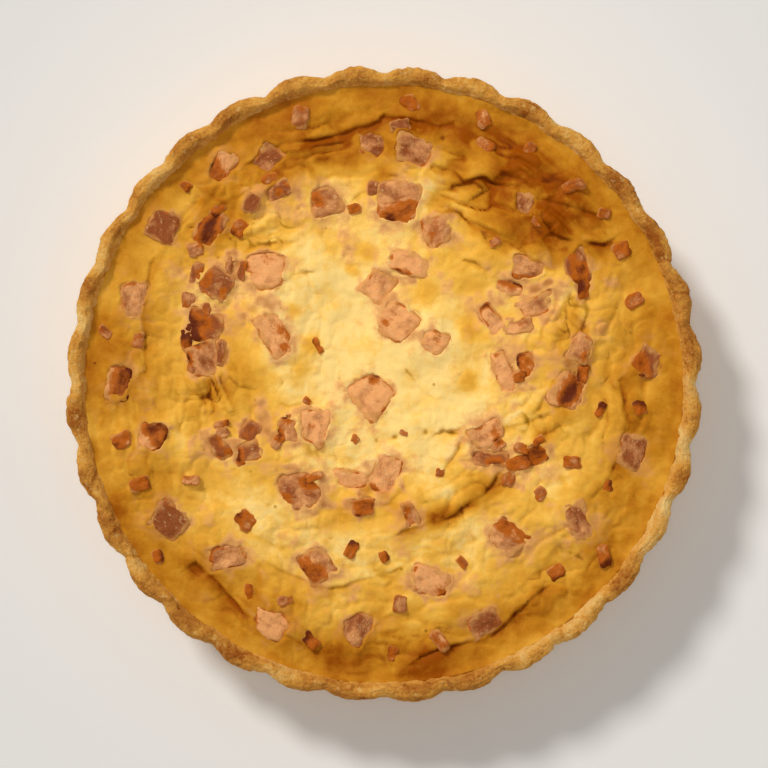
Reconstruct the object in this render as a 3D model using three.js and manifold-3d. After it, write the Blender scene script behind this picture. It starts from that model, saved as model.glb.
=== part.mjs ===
// A deep-fill quiche lorraine: a fluted shortcrust case, an egg and cheese filling, and diced bacon set into its top.
// Millimetres, +Z up. The origin is the centre of the flat underside.

import * as THREE from "three";
import { mergeVertices } from "three/addons/utils/BufferGeometryUtils.js";
import Module from "manifold-3d";

const wasm = await Module();
wasm.setup();

// Driving dimensions of the pastry case
const RIM_RADIUS = 107;
const BASE_RADIUS = 95;
const CASE_HEIGHT = 33;
const WALL = 5.4;
const FLOOR = 4.6;
const FLUTES = 32;
const FLUTE_STEPS = 4;
const FLUTE_DEPTH = 2.4;
const RIM_WAVE = 0.5;

// Driving dimensions of the filling
const EDGE_LEVEL = 29.6;
const DOME = 1.2;
const RINGS = 18;
const SECTORS = 6;
const CLEARANCE = 0.3;
const RIM_FADE = 9;

// Places on the top are read from a picture taken from straight above
const MM_PER_PIXEL = 1 / 3;
const PICTURE_CENTRE = [384, 384];

// Broad and middling waves of the baked surface
const WAVES = 7;
const LONGEST_WAVE = 48;
const SHORTEST_WAVE = 11;
const WAVE_SLOPE = 0.0125;
const GOLDEN_ANGLE = Math.PI * (3 - Math.sqrt(5));

// Raised and sunken stretches: picture x, y, radius in pixels, height in mm
const BULGES = [
  [505, 205, 70, 1.7],
  [325, 140, 55, 1.0],
  [478, 492, 48, 1.8],
  [245, 378, 40, 0.8],
  [560, 330, 40, 0.9],
  [400, 385, 80, -0.9],
  [330, 285, 55, -0.6],
  [300, 610, 60, 1.0],
  [590, 560, 55, 0.9],
  [160, 470, 50, 0.8],
];

// Creases: depth and shoulder width in mm, then the picture points that the fold runs through
const CREASES = [
  [1.5, 3.2, [255, 158], [286, 142], [331, 134], [376, 122]],
  [1.4, 2.6, [382, 118], [411, 120], [440, 126], [452, 122]],
  [1.6, 3.0, [435, 165], [456, 169], [466, 181], [485, 176], [506, 187]],
  [1.3, 2.4, [453, 184], [474, 182], [488, 190], [473, 197]],
  [1.6, 3.0, [501, 172], [525, 184], [539, 198], [560, 202], [600, 214]],
  [1.6, 3.0, [450, 208], [474, 223], [499, 235], [520, 240], [524, 252]],
  [1.5, 2.8, [539, 216], [551, 232], [570, 240], [604, 244]],
  [1.0, 2.2, [550, 379], [545, 394], [539, 410]],
  [1.1, 2.4, [488, 407], [505, 428], [525, 425], [544, 417], [572, 398]],
  [1.0, 2.2, [436, 433], [463, 431], [457, 448], [443, 469]],
  [0.9, 2.0, [249, 249], [273, 243], [291, 240]],
  [1.0, 2.4, [203, 380], [208, 399], [214, 412]],
  [0.9, 2.4, [221, 378], [228, 396], [234, 410]],
  [1.5, 3.0, [400, 530], [446, 516], [482, 494], [496, 474]],
  [0.9, 2.2, [318, 466], [325, 452], [322, 440]],
  [1.4, 3.0, [150, 262], [140, 315], [146, 372]],
  [1.4, 3.0, [196, 560], [245, 612], [318, 652]],
  [1.3, 2.8, [420, 655], [490, 634], [545, 590]],
  [1.3, 2.8, [618, 380], [628, 430], [604, 488]],
  [1.2, 2.6, [262, 560], [330, 590], [396, 570]],
];

// Bacon dice: picture x and y of the middle, length and width in pixels, turn in degrees, lift above the filling in mm
const DICE = [
  [398, 201, 44, 42, -12, 2.2],
  [372, 146, 32, 20, -4, 0.9],
  [414, 150, 36, 31, -12, 1.0],
  [268, 158, 30, 24, 60, 0.9],
  [279, 191, 27, 16, 24, 1.0],
  [328, 201, 36, 26, 14, 1.6],
  [211, 228, 34, 28, 62, 1.4],
  [265, 272, 42, 38, 4, 1.5],
  [217, 284, 33, 30, -24, 1.5],
  [378, 287, 31, 30, -38, 1.2],
  [410, 264, 36, 23, -14, 1.3],
  [396, 321, 37, 36, -36, 1.2],
  [437, 232, 32, 29, 12, 1.5],
  [527, 269, 29, 23, -8, 1.2],
  [510, 288, 29, 14, -18, 1.6],
  [535, 306, 35, 20, 12, 1.1],
  [518, 325, 34, 14, 8, 1.0],
  [491, 319, 34, 17, -56, 1.1],
  [576, 267, 42, 25, -68, 1.6],
  [204, 327, 40, 30, 4, 2.0],
  [204, 359, 31, 28, 8, 1.3],
  [275, 336, 43, 32, -66, 1.4],
  [372, 393, 42, 40, -50, 1.2],
  [288, 430, 33, 21, 76, 1.5],
  [314, 426, 38, 29, 84, 1.5],
  [249, 453, 27, 21, 24, 1.6],
  [219, 446, 32, 16, -52, 1.2],
  [302, 492, 50, 32, 8, 1.6],
  [351, 479, 35, 17, -8, 1.3],
  [385, 475, 42, 27, 68, 1.5],
  [363, 507, 24, 17, -6, 1.8],
  [434, 341, 27, 23, 62, 1.2],
  [504, 373, 41, 24, -70, 1.4],
  [527, 363, 26, 18, -62, 1.9],
  [580, 350, 30, 21, 80, 1.3],
  [567, 389, 38, 32, 66, 1.9],
  [487, 434, 31, 27, 36, 1.8],
  [494, 459, 42, 15, -6, 1.4],
  [536, 455, 30, 17, 22, 1.6],
  [411, 515, 27, 15, -60, 1.4],
  [524, 204, 22, 17, 76, 1.0],
  [222, 166, 33, 22, 50, 1.2],
  [164, 226, 34, 27, 70, 1.5],
  [134, 300, 32, 28, 84, 1.3],
  [118, 384, 37, 26, 78, 1.6],
  [152, 436, 31, 29, 20, 1.3],
  [170, 520, 39, 30, -40, 1.7],
  [228, 556, 32, 28, 12, 1.3],
  [270, 624, 38, 24, -30, 1.6],
  [318, 566, 36, 31, 30, 1.4],
  [356, 628, 33, 30, 64, 1.5],
  [430, 582, 41, 29, -18, 1.6],
  [482, 622, 34, 25, 24, 1.3],
  [508, 536, 37, 32, 50, 1.5],
  [578, 520, 34, 26, -70, 1.4],
  [632, 452, 36, 29, 74, 1.6],
  [648, 362, 32, 25, 86, 1.3],
];
const DICE_ABOVE = 2.6;
const DICE_BELOW = 5;
const DICE_SQUARENESS = 4.5;
const DICE_UNEVENNESS = 0.1;
const DICE_TILT = 0.14;

// Small bits of bacon baked onto the filling: picture x, y, diameter in pixels, height in mm
const BITS = [
  [354, 209, 15, 1.7],
  [240, 229, 16, 1.9],
  [308, 401, 9, 1.1],
  [222, 424, 12, 1.2],
  [355, 440, 11, 1.1],
  [440, 471, 11, 1.3],
  [536, 222, 10, 1.2],
  [494, 242, 11, 1.1],
  [484, 147, 17, 1.3],
  [404, 432, 10, 1.0],
  [484, 120, 15, 1.4],
  [138, 340, 13, 1.3],
  [190, 480, 14, 1.4],
  [158, 556, 12, 1.3],
  [286, 600, 15, 1.5],
  [392, 654, 13, 1.3],
  [462, 562, 12, 1.2],
  [556, 572, 15, 1.4],
  [606, 486, 12, 1.2],
  [600, 410, 13, 1.3],
  [634, 300, 15, 1.4],
  [604, 214, 13, 1.3],
  [186, 186, 12, 1.2],
  [384, 556, 11, 1.1],
  [300, 118, 17, 1.4],
  [410, 104, 15, 1.3],
  [573, 186, 19, 1.6],
  [530, 150, 15, 1.3],
  [622, 250, 18, 1.6],
  [640, 408, 15, 1.3],
  [572, 462, 17, 1.5],
  [540, 494, 14, 1.2],
  [604, 556, 19, 1.6],
  [440, 640, 18, 1.5],
  [352, 548, 16, 1.4],
  [246, 520, 19, 1.6],
  [122, 440, 18, 1.5],
  [106, 332, 15, 1.3],
  [140, 484, 19, 1.6],
  [250, 592, 14, 1.3],
  [310, 640, 17, 1.5],
  [400, 604, 15, 1.3],
];

// Bacon just under the skin of the filling, as low mounds: picture x, y, length and width in pixels, height in mm
const MOUNDS = [
  [293, 214, 34, 22, 0.9],
  [348, 243, 30, 20, 0.8],
  [262, 303, 28, 20, 0.7],
  [243, 319, 26, 19, 0.8],
  [309, 345, 28, 20, 0.8],
  [262, 414, 30, 40, 0.7],
  [470, 380, 21, 18, 0.7],
  [200, 590, 30, 24, 0.8],
  [536, 604, 26, 22, 0.8],
  [600, 330, 26, 22, 0.7],
];

const COLOURS = { pastry: 0xd9a765, filling: 0xf2cf78, bacon: 0xc98868 };

const fromPicture = (px, py) => [(px - PICTURE_CENTRE[0]) * MM_PER_PIXEL, (PICTURE_CENTRE[1] - py) * MM_PER_PIXEL];

// The inside wall of the case leans out with height
const innerBase = BASE_RADIUS - WALL;
const wallLean = (RIM_RADIUS - BASE_RADIUS) / CASE_HEIGHT;
const innerRadius = (z) => innerBase + wallLean * z;
const fillingRadius = innerRadius(EDGE_LEVEL) - CLEARANCE;

// The surface of the filling

function wave(x, y) {
  let sum = 0;
  for (let k = 0; k < WAVES; k++) {
    const length = LONGEST_WAVE * Math.pow(SHORTEST_WAVE / LONGEST_WAVE, k / (WAVES - 1));
    const turn = k * GOLDEN_ANGLE;
    const along = x * Math.cos(turn) + y * Math.sin(turn);
    sum += WAVE_SLOPE * length * Math.sin((2 * Math.PI * along) / length + k * k);
  }
  return sum;
}

function bulge(x, y) {
  let sum = 0;
  for (const [px, py, radius, height] of BULGES) {
    const [bx, by] = fromPicture(px, py);
    const spread = radius * MM_PER_PIXEL;
    sum += height * Math.exp(-((x - bx) ** 2 + (y - by) ** 2) / spread ** 2);
  }
  return sum;
}

function distanceToLine(x, y, points) {
  let nearest = Infinity;
  for (let i = 1; i < points.length; i++) {
    const [ax, ay] = fromPicture(...points[i - 1]);
    const [bx, by] = fromPicture(...points[i]);
    const share = ((x - ax) * (bx - ax) + (y - ay) * (by - ay)) / ((bx - ax) ** 2 + (by - ay) ** 2);
    const t = Math.min(1, Math.max(0, share));
    nearest = Math.min(nearest, Math.hypot(x - ax - t * (bx - ax), y - ay - t * (by - ay)));
  }
  return nearest;
}

function crease(x, y) {
  let deepest = 0;
  for (const [depth, shoulder, ...points] of CREASES) {
    deepest = Math.max(deepest, depth * Math.exp(-distanceToLine(x, y, points) / shoulder));
  }
  return deepest;
}

function surface(x, y) {
  const r = Math.hypot(x, y);
  const fade = Math.min(1, Math.max(0, (fillingRadius - r) / RIM_FADE));
  const dome = DOME * (1 - (r / fillingRadius) ** 2);
  return EDGE_LEVEL + dome + fade * (wave(x, y) + bulge(x, y) - crease(x, y));
}

// Solids and geometries

function solidOf(geometry) {
  const bare = geometry.clone();
  bare.deleteAttribute("normal");
  bare.deleteAttribute("uv");
  const merged = mergeVertices(bare, 1e-4);
  const vertProperties = new Float32Array(merged.attributes.position.array);
  const triVerts = new Uint32Array(merged.index.array);
  return new wasm.Manifold(new wasm.Mesh({ numProp: 3, vertProperties, triVerts }));
}

function geometryOf(solid) {
  const mesh = solid.getMesh();
  const geometry = new THREE.BufferGeometry();
  geometry.setAttribute("position", new THREE.BufferAttribute(new Float32Array(mesh.vertProperties), 3));
  geometry.setIndex(new THREE.BufferAttribute(new Uint32Array(mesh.triVerts), 1));
  geometry.computeVertexNormals();
  return geometry;
}

function eachVertex(geometry, move) {
  const position = geometry.attributes.position;
  for (let i = 0; i < position.count; i++) {
    position.setXYZ(i, ...move(position.getX(i), position.getY(i), position.getZ(i)));
  }
  return geometry;
}

// The pastry case: a turned section whose wall is then pushed in and out by the flutes

function flute(angle) {
  return Math.abs(Math.sin((FLUTES * angle) / 2)) - 1;
}

function rimWave(angle) {
  return Math.sin(3 * angle + 1) + 0.6 * Math.sin(7 * angle) + 0.5 * Math.sin(16 * angle + 2);
}

function pastryCase() {
  const top = CASE_HEIGHT;
  const innerTop = innerRadius(top);
  const section = [
    [0, 0],
    [BASE_RADIUS - 3, 0],
    [BASE_RADIUS, 2.4],
    [RIM_RADIUS, top - 2.6],
    [RIM_RADIUS - 2, top],
    [innerTop + 0.6, top - 0.8],
    [innerRadius(EDGE_LEVEL), EDGE_LEVEL],
    [innerRadius(FLOOR), FLOOR],
    [0, FLOOR],
  ].map(([r, z]) => new THREE.Vector2(r, z));
  const turned = new THREE.LatheGeometry(section, FLUTES * FLUTE_STEPS).rotateX(Math.PI / 2);
  return eachVertex(turned, (x, y, z) => {
    const r = Math.hypot(x, y);
    const angle = Math.atan2(y, x);
    const middleOfWall = BASE_RADIUS - WALL / 2 + wallLean * z;
    const onOutside = Math.min(1, Math.max(0, (r - middleOfWall) / (WALL / 2)));
    const nearRim = Math.min(1, Math.max(0, (z - EDGE_LEVEL) / (CASE_HEIGHT - EDGE_LEVEL)));
    const fluted = z > 0 ? Math.max(onOutside, 0.5 * nearRim) : 0;
    const pushed = r > 0 ? (r + FLUTE_DEPTH * flute(angle) * fluted) / r : 1;
    return [x * pushed, y * pushed, z + RIM_WAVE * rimWave(angle) * nearRim];
  });
}

// The filling: a disc of rings on top, a leaning side and a flat underside

function bareFilling() {
  const positions = [];
  const triangles = [];
  const firstOfRing = (ring) => (ring === 0 ? 0 : 1 + (SECTORS * ring * (ring - 1)) / 2);
  const pointOn = (ring, step) => (ring === 0 ? 0 : firstOfRing(ring) + (step % (SECTORS * ring)));
  positions.push(0, 0, surface(0, 0));
  for (let ring = 1; ring <= RINGS; ring++) {
    for (let step = 0; step < SECTORS * ring; step++) {
      const angle = (2 * Math.PI * step) / (SECTORS * ring);
      const r = (fillingRadius * ring) / RINGS;
      positions.push(r * Math.cos(angle), r * Math.sin(angle), surface(r * Math.cos(angle), r * Math.sin(angle)));
    }
    for (let sector = 0; sector < SECTORS; sector++) {
      for (let k = 0; k < ring; k++) {
        const outer = sector * ring + k;
        const inner = sector * (ring - 1) + k;
        triangles.push(pointOn(ring, outer), pointOn(ring, outer + 1), pointOn(ring - 1, inner));
        if (k < ring - 1) {
          triangles.push(pointOn(ring, outer + 1), pointOn(ring - 1, inner + 1), pointOn(ring - 1, inner));
        }
      }
    }
  }
  const around = SECTORS * RINGS;
  const firstBelow = firstOfRing(RINGS) + around;
  const floor = FLOOR + CLEARANCE;
  const floorRadius = innerRadius(floor) - CLEARANCE;
  for (let step = 0; step < around; step++) {
    const angle = (2 * Math.PI * step) / around;
    positions.push(floorRadius * Math.cos(angle), floorRadius * Math.sin(angle), floor);
  }
  positions.push(0, 0, floor);
  const underside = firstBelow + around;
  for (let step = 0; step < around; step++) {
    const next = (step + 1) % around;
    const above = pointOn(RINGS, step);
    const aboveNext = pointOn(RINGS, step + 1);
    triangles.push(above, firstBelow + step, firstBelow + next);
    triangles.push(above, firstBelow + next, aboveNext);
    triangles.push(underside, firstBelow + next, firstBelow + step);
  }
  const geometry = new THREE.BufferGeometry();
  geometry.setAttribute("position", new THREE.Float32BufferAttribute(positions, 3));
  geometry.setIndex(triangles);
  return geometry;
}

// Bacon: a coarse ball pushed out to a rounded, uneven block

function roundedBlock(halfLength, halfWidth, above, below, seed, around, down) {
  const ball = new THREE.SphereGeometry(1, around, down).rotateX(Math.PI / 2);
  return eachVertex(ball, (x, y, z) => {
    const powers = Math.abs(x) ** DICE_SQUARENESS + Math.abs(y) ** DICE_SQUARENESS + Math.abs(z) ** DICE_SQUARENESS;
    const uneven = 1 + DICE_UNEVENNESS * (Math.sin(3 * x + seed) + Math.sin(4 * y + 2 * seed) * 0.8 - 0.6);
    const push = uneven * powers ** (-1 / DICE_SQUARENESS);
    return [x * push * halfLength, y * push * halfWidth, z * push * (z > 0 ? above : below)];
  });
}

function dieMesh([px, py, length, width, turn, lift], index, grown = 0) {
  const [x, y] = fromPicture(px, py);
  const seed = 1.7 * index;
  const halfLength = (length * MM_PER_PIXEL) / 2 + grown;
  const halfWidth = (width * MM_PER_PIXEL) / 2 + grown;
  const mesh = new THREE.Mesh(
    roundedBlock(halfLength, halfWidth, DICE_ABOVE + grown, DICE_BELOW + grown, seed, 8, 4),
    new THREE.MeshStandardMaterial({ color: COLOURS.bacon, roughness: 0.5, metalness: 0 }),
  );
  mesh.name = "bacon_" + String(index + 1).padStart(2, "0");
  mesh.position.set(x, y, surface(x, y) + lift - DICE_ABOVE);
  const tiltX = DICE_TILT * Math.sin(2.4 * index);
  const tiltY = DICE_TILT * Math.cos(3.1 * index);
  mesh.rotation.set(tiltX, tiltY, THREE.MathUtils.degToRad(turn));
  mesh.updateMatrix();
  return mesh;
}

const placed = (mesh) => solidOf(mesh.geometry.clone().applyMatrix4(mesh.matrix));

function fillingWithBits() {
  let solid = solidOf(bareFilling());
  BITS.forEach(([px, py, across, height], index) => {
    const [x, y] = fromPicture(px, py);
    const half = (across * MM_PER_PIXEL) / 2;
    const bit = roundedBlock(half, 0.85 * half, height, height, 40 + index, 6, 3).translate(x, y, surface(x, y) + 0.1);
    solid = solid.add(solidOf(bit));
  });
  MOUNDS.forEach(([px, py, length, width, height]) => {
    const [x, y] = fromPicture(px, py);
    const mound = new THREE.SphereGeometry(1, 7, 3).rotateX(Math.PI / 2);
    mound.scale((length * MM_PER_PIXEL) / 2, (width * MM_PER_PIXEL) / 2, 1 + height);
    solid = solid.add(solidOf(mound.translate(x, y, surface(x, y) - 1)));
  });
  DICE.forEach((die, index) => {
    solid = solid.subtract(placed(dieMesh(die, index, CLEARANCE)));
  });
  return geometryOf(solid);
}

// The quiche

const quiche = new THREE.Group();

const pastry = new THREE.Mesh(
  pastryCase(),
  new THREE.MeshStandardMaterial({ color: COLOURS.pastry, roughness: 0.85, metalness: 0 }),
);
pastry.name = "pastry_case";
quiche.add(pastry);

const filling = new THREE.Mesh(
  fillingWithBits(),
  new THREE.MeshStandardMaterial({ color: COLOURS.filling, roughness: 0.5, metalness: 0 }),
);
filling.name = "filling";
quiche.add(filling);

DICE.forEach((die, index) => quiche.add(dieMesh(die, index)));

export default quiche;
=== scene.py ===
"""A deep-fill quiche lorraine: fluted shortcrust, baked egg custard and diced bacon. Metres, +Z up."""

import math

import bmesh
import bpy
import numpy as np
from bpy.props import FloatProperty, FloatVectorProperty, IntProperty, PointerProperty
from bpy.types import Operator, Panel, PropertyGroup
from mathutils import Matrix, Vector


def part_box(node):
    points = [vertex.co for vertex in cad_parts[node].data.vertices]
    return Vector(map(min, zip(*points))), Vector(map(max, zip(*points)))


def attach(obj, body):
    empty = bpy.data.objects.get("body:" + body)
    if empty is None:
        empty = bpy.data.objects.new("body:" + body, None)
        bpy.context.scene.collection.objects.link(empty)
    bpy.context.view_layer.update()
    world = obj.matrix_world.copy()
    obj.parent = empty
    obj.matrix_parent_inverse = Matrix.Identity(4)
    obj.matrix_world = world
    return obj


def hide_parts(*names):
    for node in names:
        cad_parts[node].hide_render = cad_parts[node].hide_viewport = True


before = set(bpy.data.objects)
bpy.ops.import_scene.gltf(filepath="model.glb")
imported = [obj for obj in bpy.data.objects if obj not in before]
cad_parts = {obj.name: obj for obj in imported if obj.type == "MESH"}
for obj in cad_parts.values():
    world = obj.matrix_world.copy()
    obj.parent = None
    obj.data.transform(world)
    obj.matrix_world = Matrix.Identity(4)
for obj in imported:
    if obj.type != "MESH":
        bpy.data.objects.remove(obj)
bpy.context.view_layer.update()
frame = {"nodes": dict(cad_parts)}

bl_info = {
    "name": "Quiche lorraine",
    "version": (1, 0, 0),
    "blender": (4, 5, 0),
    "location": "3D View > Sidebar > Quiche",
    "description": "Builds a baked quiche lorraine from its pastry case, custard and bacon",
    "category": "Add Mesh",
}

BODY = "root"
MM = 0.001

# How far light goes under a skin
LIGHT_DEPTH = 1.5 * MM

# The picture from straight above: how far a pixel is on the quiche, and the pixel over its middle
PIXEL_MM = 1 / 3
PICTURE_MIDDLE = (384, 384)
PICTURE_WIDTH = 768

# The pixel over the brightest part of the custard
SHOWN_MIDDLE = (386, 321)

# The way towards the light, across the picture
LIT_SIDE = np.array([-0.62, 0.78])

# The pastry case, in millimetres, as its solid is made
FLUTES = 32
FLUTE_DEPTH = 2.4
RIM_WAVE = 0.5
WALL = 5.4
CRUST_FLOOR = 4.6

# How far apart the points of the section are, in millimetres, where it shows and where it doesn't
FINE_STEP = 0.65
HIDDEN_STEP = 30

# The surface of the custard, in millimetres, as its solid is made
EDGE_LEVEL = 29.6
DOME = 1.2
RIM_FADE = 9
WAVES = 7
LONGEST_WAVE = 48
SHORTEST_WAVE = 11
WAVE_SLOPE = 0.0125
GOLDEN_ANGLE = math.pi * (3 - math.sqrt(5))

# Its skin, in millimetres: how wide the curds and wrinkles are, and how far each kind of mark wanders
CURD_WIDTH = 4.6
CURD_WANDER = 1.2
WRINKLE_WIDTH = 5.2
WRINKLE_WANDER = 1.5
CREASE_WANDER = 0.7
TINT_WANDER = 1.7
CLIMB_WIDTH = 2.8

# How brown the top is in its middle, and how much browner it is at the pastry
MIDDLE_BROWN = 0.06
RIM_BROWN = 0.62

# How deep the bits and slivers sit in the custard, and half the height of a sliver, in millimetres
BIT_SUNK = 0.45
SLIVER_SUNK = 0.55
SLIVER_HALF_HEIGHT = 1.2

# The lights and the floor: places and sizes in metres, and colours
KEY_PLACE = (-0.48, 0.6, 0.7)
KEY_SPREAD = math.radians(11)
POOL_HEIGHT = 0.6
POOL_CONE = math.radians(22)
POOL_SIZE = 0.1
FLOOR_REACH = 4
WARM_LIGHT = (1, 0.97, 0.92)
WARM_AIR = (1, 0.98, 0.95, 1)
DEEP_FLOOR = (0.86, 0.86, 0.86)

# Where each series of random draws starts
SHAPE_DRAWS = 300
TONE_DRAWS = 500
BIT_DRAWS = 700

# What each point of a piece of bacon holds for the material, and of how many numbers
BACON_MARKS = {"grain": 3, "tone": 1, "caught": 1, "coated": 1}

# Raised and sunken stretches: picture x, y, radius in pixels, height in mm
BULGES = [
    (505, 205, 70, 1.7), (325, 140, 55, 1.0), (478, 492, 48, 1.8), (245, 378, 40, 0.8),
    (560, 330, 40, 0.9), (400, 385, 80, -0.9), (330, 285, 55, -0.6), (300, 610, 60, 1.0),
    (590, 560, 55, 0.9), (160, 470, 50, 0.8),
]

# Creases: depth and shoulder width in mm, then the picture points that the fold runs through; each gets a
# painted dark line and painted shade on its side away from the light
CREASES = [
    (1.5, 3.2, (255, 158), (286, 142), (331, 134), (376, 122)),
    (1.4, 2.6, (382, 118), (411, 120), (440, 126), (452, 122)),
    (1.6, 3.0, (435, 165), (456, 169), (466, 181), (485, 176), (506, 187)),
    (1.3, 2.4, (453, 184), (474, 182), (488, 190), (473, 197)),
    (1.6, 3.0, (501, 172), (525, 184), (539, 198), (560, 202), (600, 214)),
    (1.6, 3.0, (450, 208), (474, 223), (499, 235), (520, 240), (524, 252)),
    (1.5, 2.8, (539, 216), (551, 232), (570, 240), (604, 244)),
    (1.0, 2.2, (550, 379), (545, 394), (539, 410)),
    (1.1, 2.4, (488, 407), (505, 428), (525, 425), (544, 417), (572, 398)),
    (1.0, 2.2, (436, 433), (463, 431), (457, 448), (443, 469)),
    (1.1, 2.2, (249, 249), (273, 243), (291, 240)),
    (0.8, 2.2, (203, 380), (208, 399), (214, 412)),
    (0.9, 2.4, (221, 378), (228, 396), (234, 410)),
    (1.5, 3.0, (400, 530), (446, 516), (482, 494), (496, 474)),
    (1.4, 3.0, (150, 262), (140, 315), (146, 372)),
    (1.4, 3.0, (196, 560), (245, 612), (318, 652)),
    (1.3, 2.8, (420, 655), (490, 634), (545, 590)),
    (1.3, 2.8, (618, 380), (628, 430), (604, 488)),
    (1.2, 2.6, (262, 560), (330, 590), (396, 570)),
]

# Small bits of bacon on the custard: picture x, y, diameter in pixels, height in mm
BITS = [
    (354, 209, 15, 1.7), (240, 229, 16, 1.9), (308, 401, 9, 1.1), (222, 424, 12, 1.2),
    (355, 441, 9, 0.9), (440, 472, 9, 1.1), (536, 222, 10, 1.2), (494, 242, 11, 1.1),
    (484, 147, 17, 1.3), (404, 432, 8, 0.9), (484, 120, 15, 1.4), (138, 340, 13, 1.3),
    (190, 480, 14, 1.4), (158, 556, 12, 1.3), (286, 600, 15, 1.5), (392, 654, 13, 1.3),
    (462, 562, 12, 1.2), (556, 572, 15, 1.4), (606, 486, 12, 1.2), (600, 410, 13, 1.3),
    (634, 300, 15, 1.4), (604, 214, 13, 1.3), (186, 186, 12, 1.2), (384, 556, 11, 1.1),
    (300, 118, 17, 1.4), (410, 104, 15, 1.3), (573, 186, 19, 1.6), (530, 150, 15, 1.3),
    (622, 250, 18, 1.6), (640, 408, 15, 1.3), (572, 462, 17, 1.5), (540, 494, 14, 1.2),
    (604, 556, 19, 1.6), (440, 640, 18, 1.5), (352, 548, 16, 1.4), (246, 520, 19, 1.6),
    (122, 440, 18, 1.5), (106, 332, 15, 1.3), (140, 484, 19, 1.6), (250, 592, 14, 1.3),
    (310, 640, 17, 1.5), (400, 604, 15, 1.3),
]

# Lines that are only in the skin, each with a painted dark line of shade, some standing for the shadow
# beside a die or a mound: depth in mm, then picture points
FINE_LINES = [
    (0.5, (231, 206), (238, 196), (252, 187)), (0.7, (247, 251), (254, 247), (262, 244), (274, 242)),
    (0.6, (320, 234), (321, 241), (325, 248)), (0.5, (292, 276), (302, 272), (313, 272)),
    (0.5, (250, 214), (247, 204), (257, 195)), (0.5, (297, 173), (311, 163), (328, 158)),
    (0.6, (260, 172), (270, 168), (284, 158)), (0.5, (192, 270), (196, 284), (207, 300)),
    (0.6, (424, 146), (425, 157), (434, 164)), (0.7, (438, 139), (444, 136), (450, 133)),
    (0.7, (390, 176), (396, 175), (403, 178)), (0.6, (464, 260), (475, 262), (486, 271)),
    (0.6, (516, 244), (520, 250), (521, 257)), (0.7, (551, 300), (558, 308), (556, 322), (566, 330)),
    (0.7, (572, 286), (580, 298), (575, 312), (584, 322)), (0.7, (565, 304), (569, 316), (580, 328)),
    (0.6, (586, 300), (587, 314), (581, 330)), (0.5, (546, 268), (548, 282), (541, 292)),
    (0.6, (405, 371), (413, 380), (422, 391), (438, 400)), (0.5, (331, 484), (350, 491), (368, 495)),
    (0.6, (402, 476), (402, 490), (391, 498)), (0.5, (381, 501), (408, 506), (440, 497)),
    (0.5, (352, 200), (360, 193), (371, 190)), (0.6, (441, 431), (450, 431), (458, 428), (466, 424)),
    (0.5, (394, 437), (404, 432), (413, 435)), (0.5, (525, 425), (541, 419), (556, 411)),
    (0.5, (490, 407), (497, 417), (508, 428)), (0.6, (211, 378), (217, 392), (224, 408), (233, 416)),
    (0.5, (196, 384), (201, 396), (206, 412)), (0.5, (232, 378), (240, 388), (256, 390)),
    (0.5, (283, 402), (292, 404), (301, 402)), (0.3, (322, 444), (330, 436), (337, 441)),
    (0.5, (345, 421), (352, 416), (360, 419)), (0.6, (303, 150), (318, 144), (340, 140)),
    (0.6, (412, 206), (430, 203), (448, 206)),
]

# Small holes in the skin, darkened with painted shade: picture x, y and width in pixels
PITS = [
    (443, 431, 5), (452, 431, 6), (461, 428, 6), (466, 423, 4), (395, 438, 4), (425, 433, 5),
    (526, 424, 5), (541, 419, 5), (501, 338, 4), (494, 346, 3), (254, 248, 7), (259, 244, 6),
    (217, 258, 4), (209, 256, 4), (305, 274, 5), (299, 208, 4), (419, 337, 4), (444, 136, 5),
    (397, 176, 4), (406, 173, 4), (378, 441, 4), (371, 428, 5), (340, 380, 3), (283, 383, 3),
    (236, 470, 3), (278, 470, 3), (562, 318, 5), (574, 300, 5), (585, 326, 5), (563, 402, 4),
    (326, 421, 3), (388, 470, 4),
]
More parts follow.
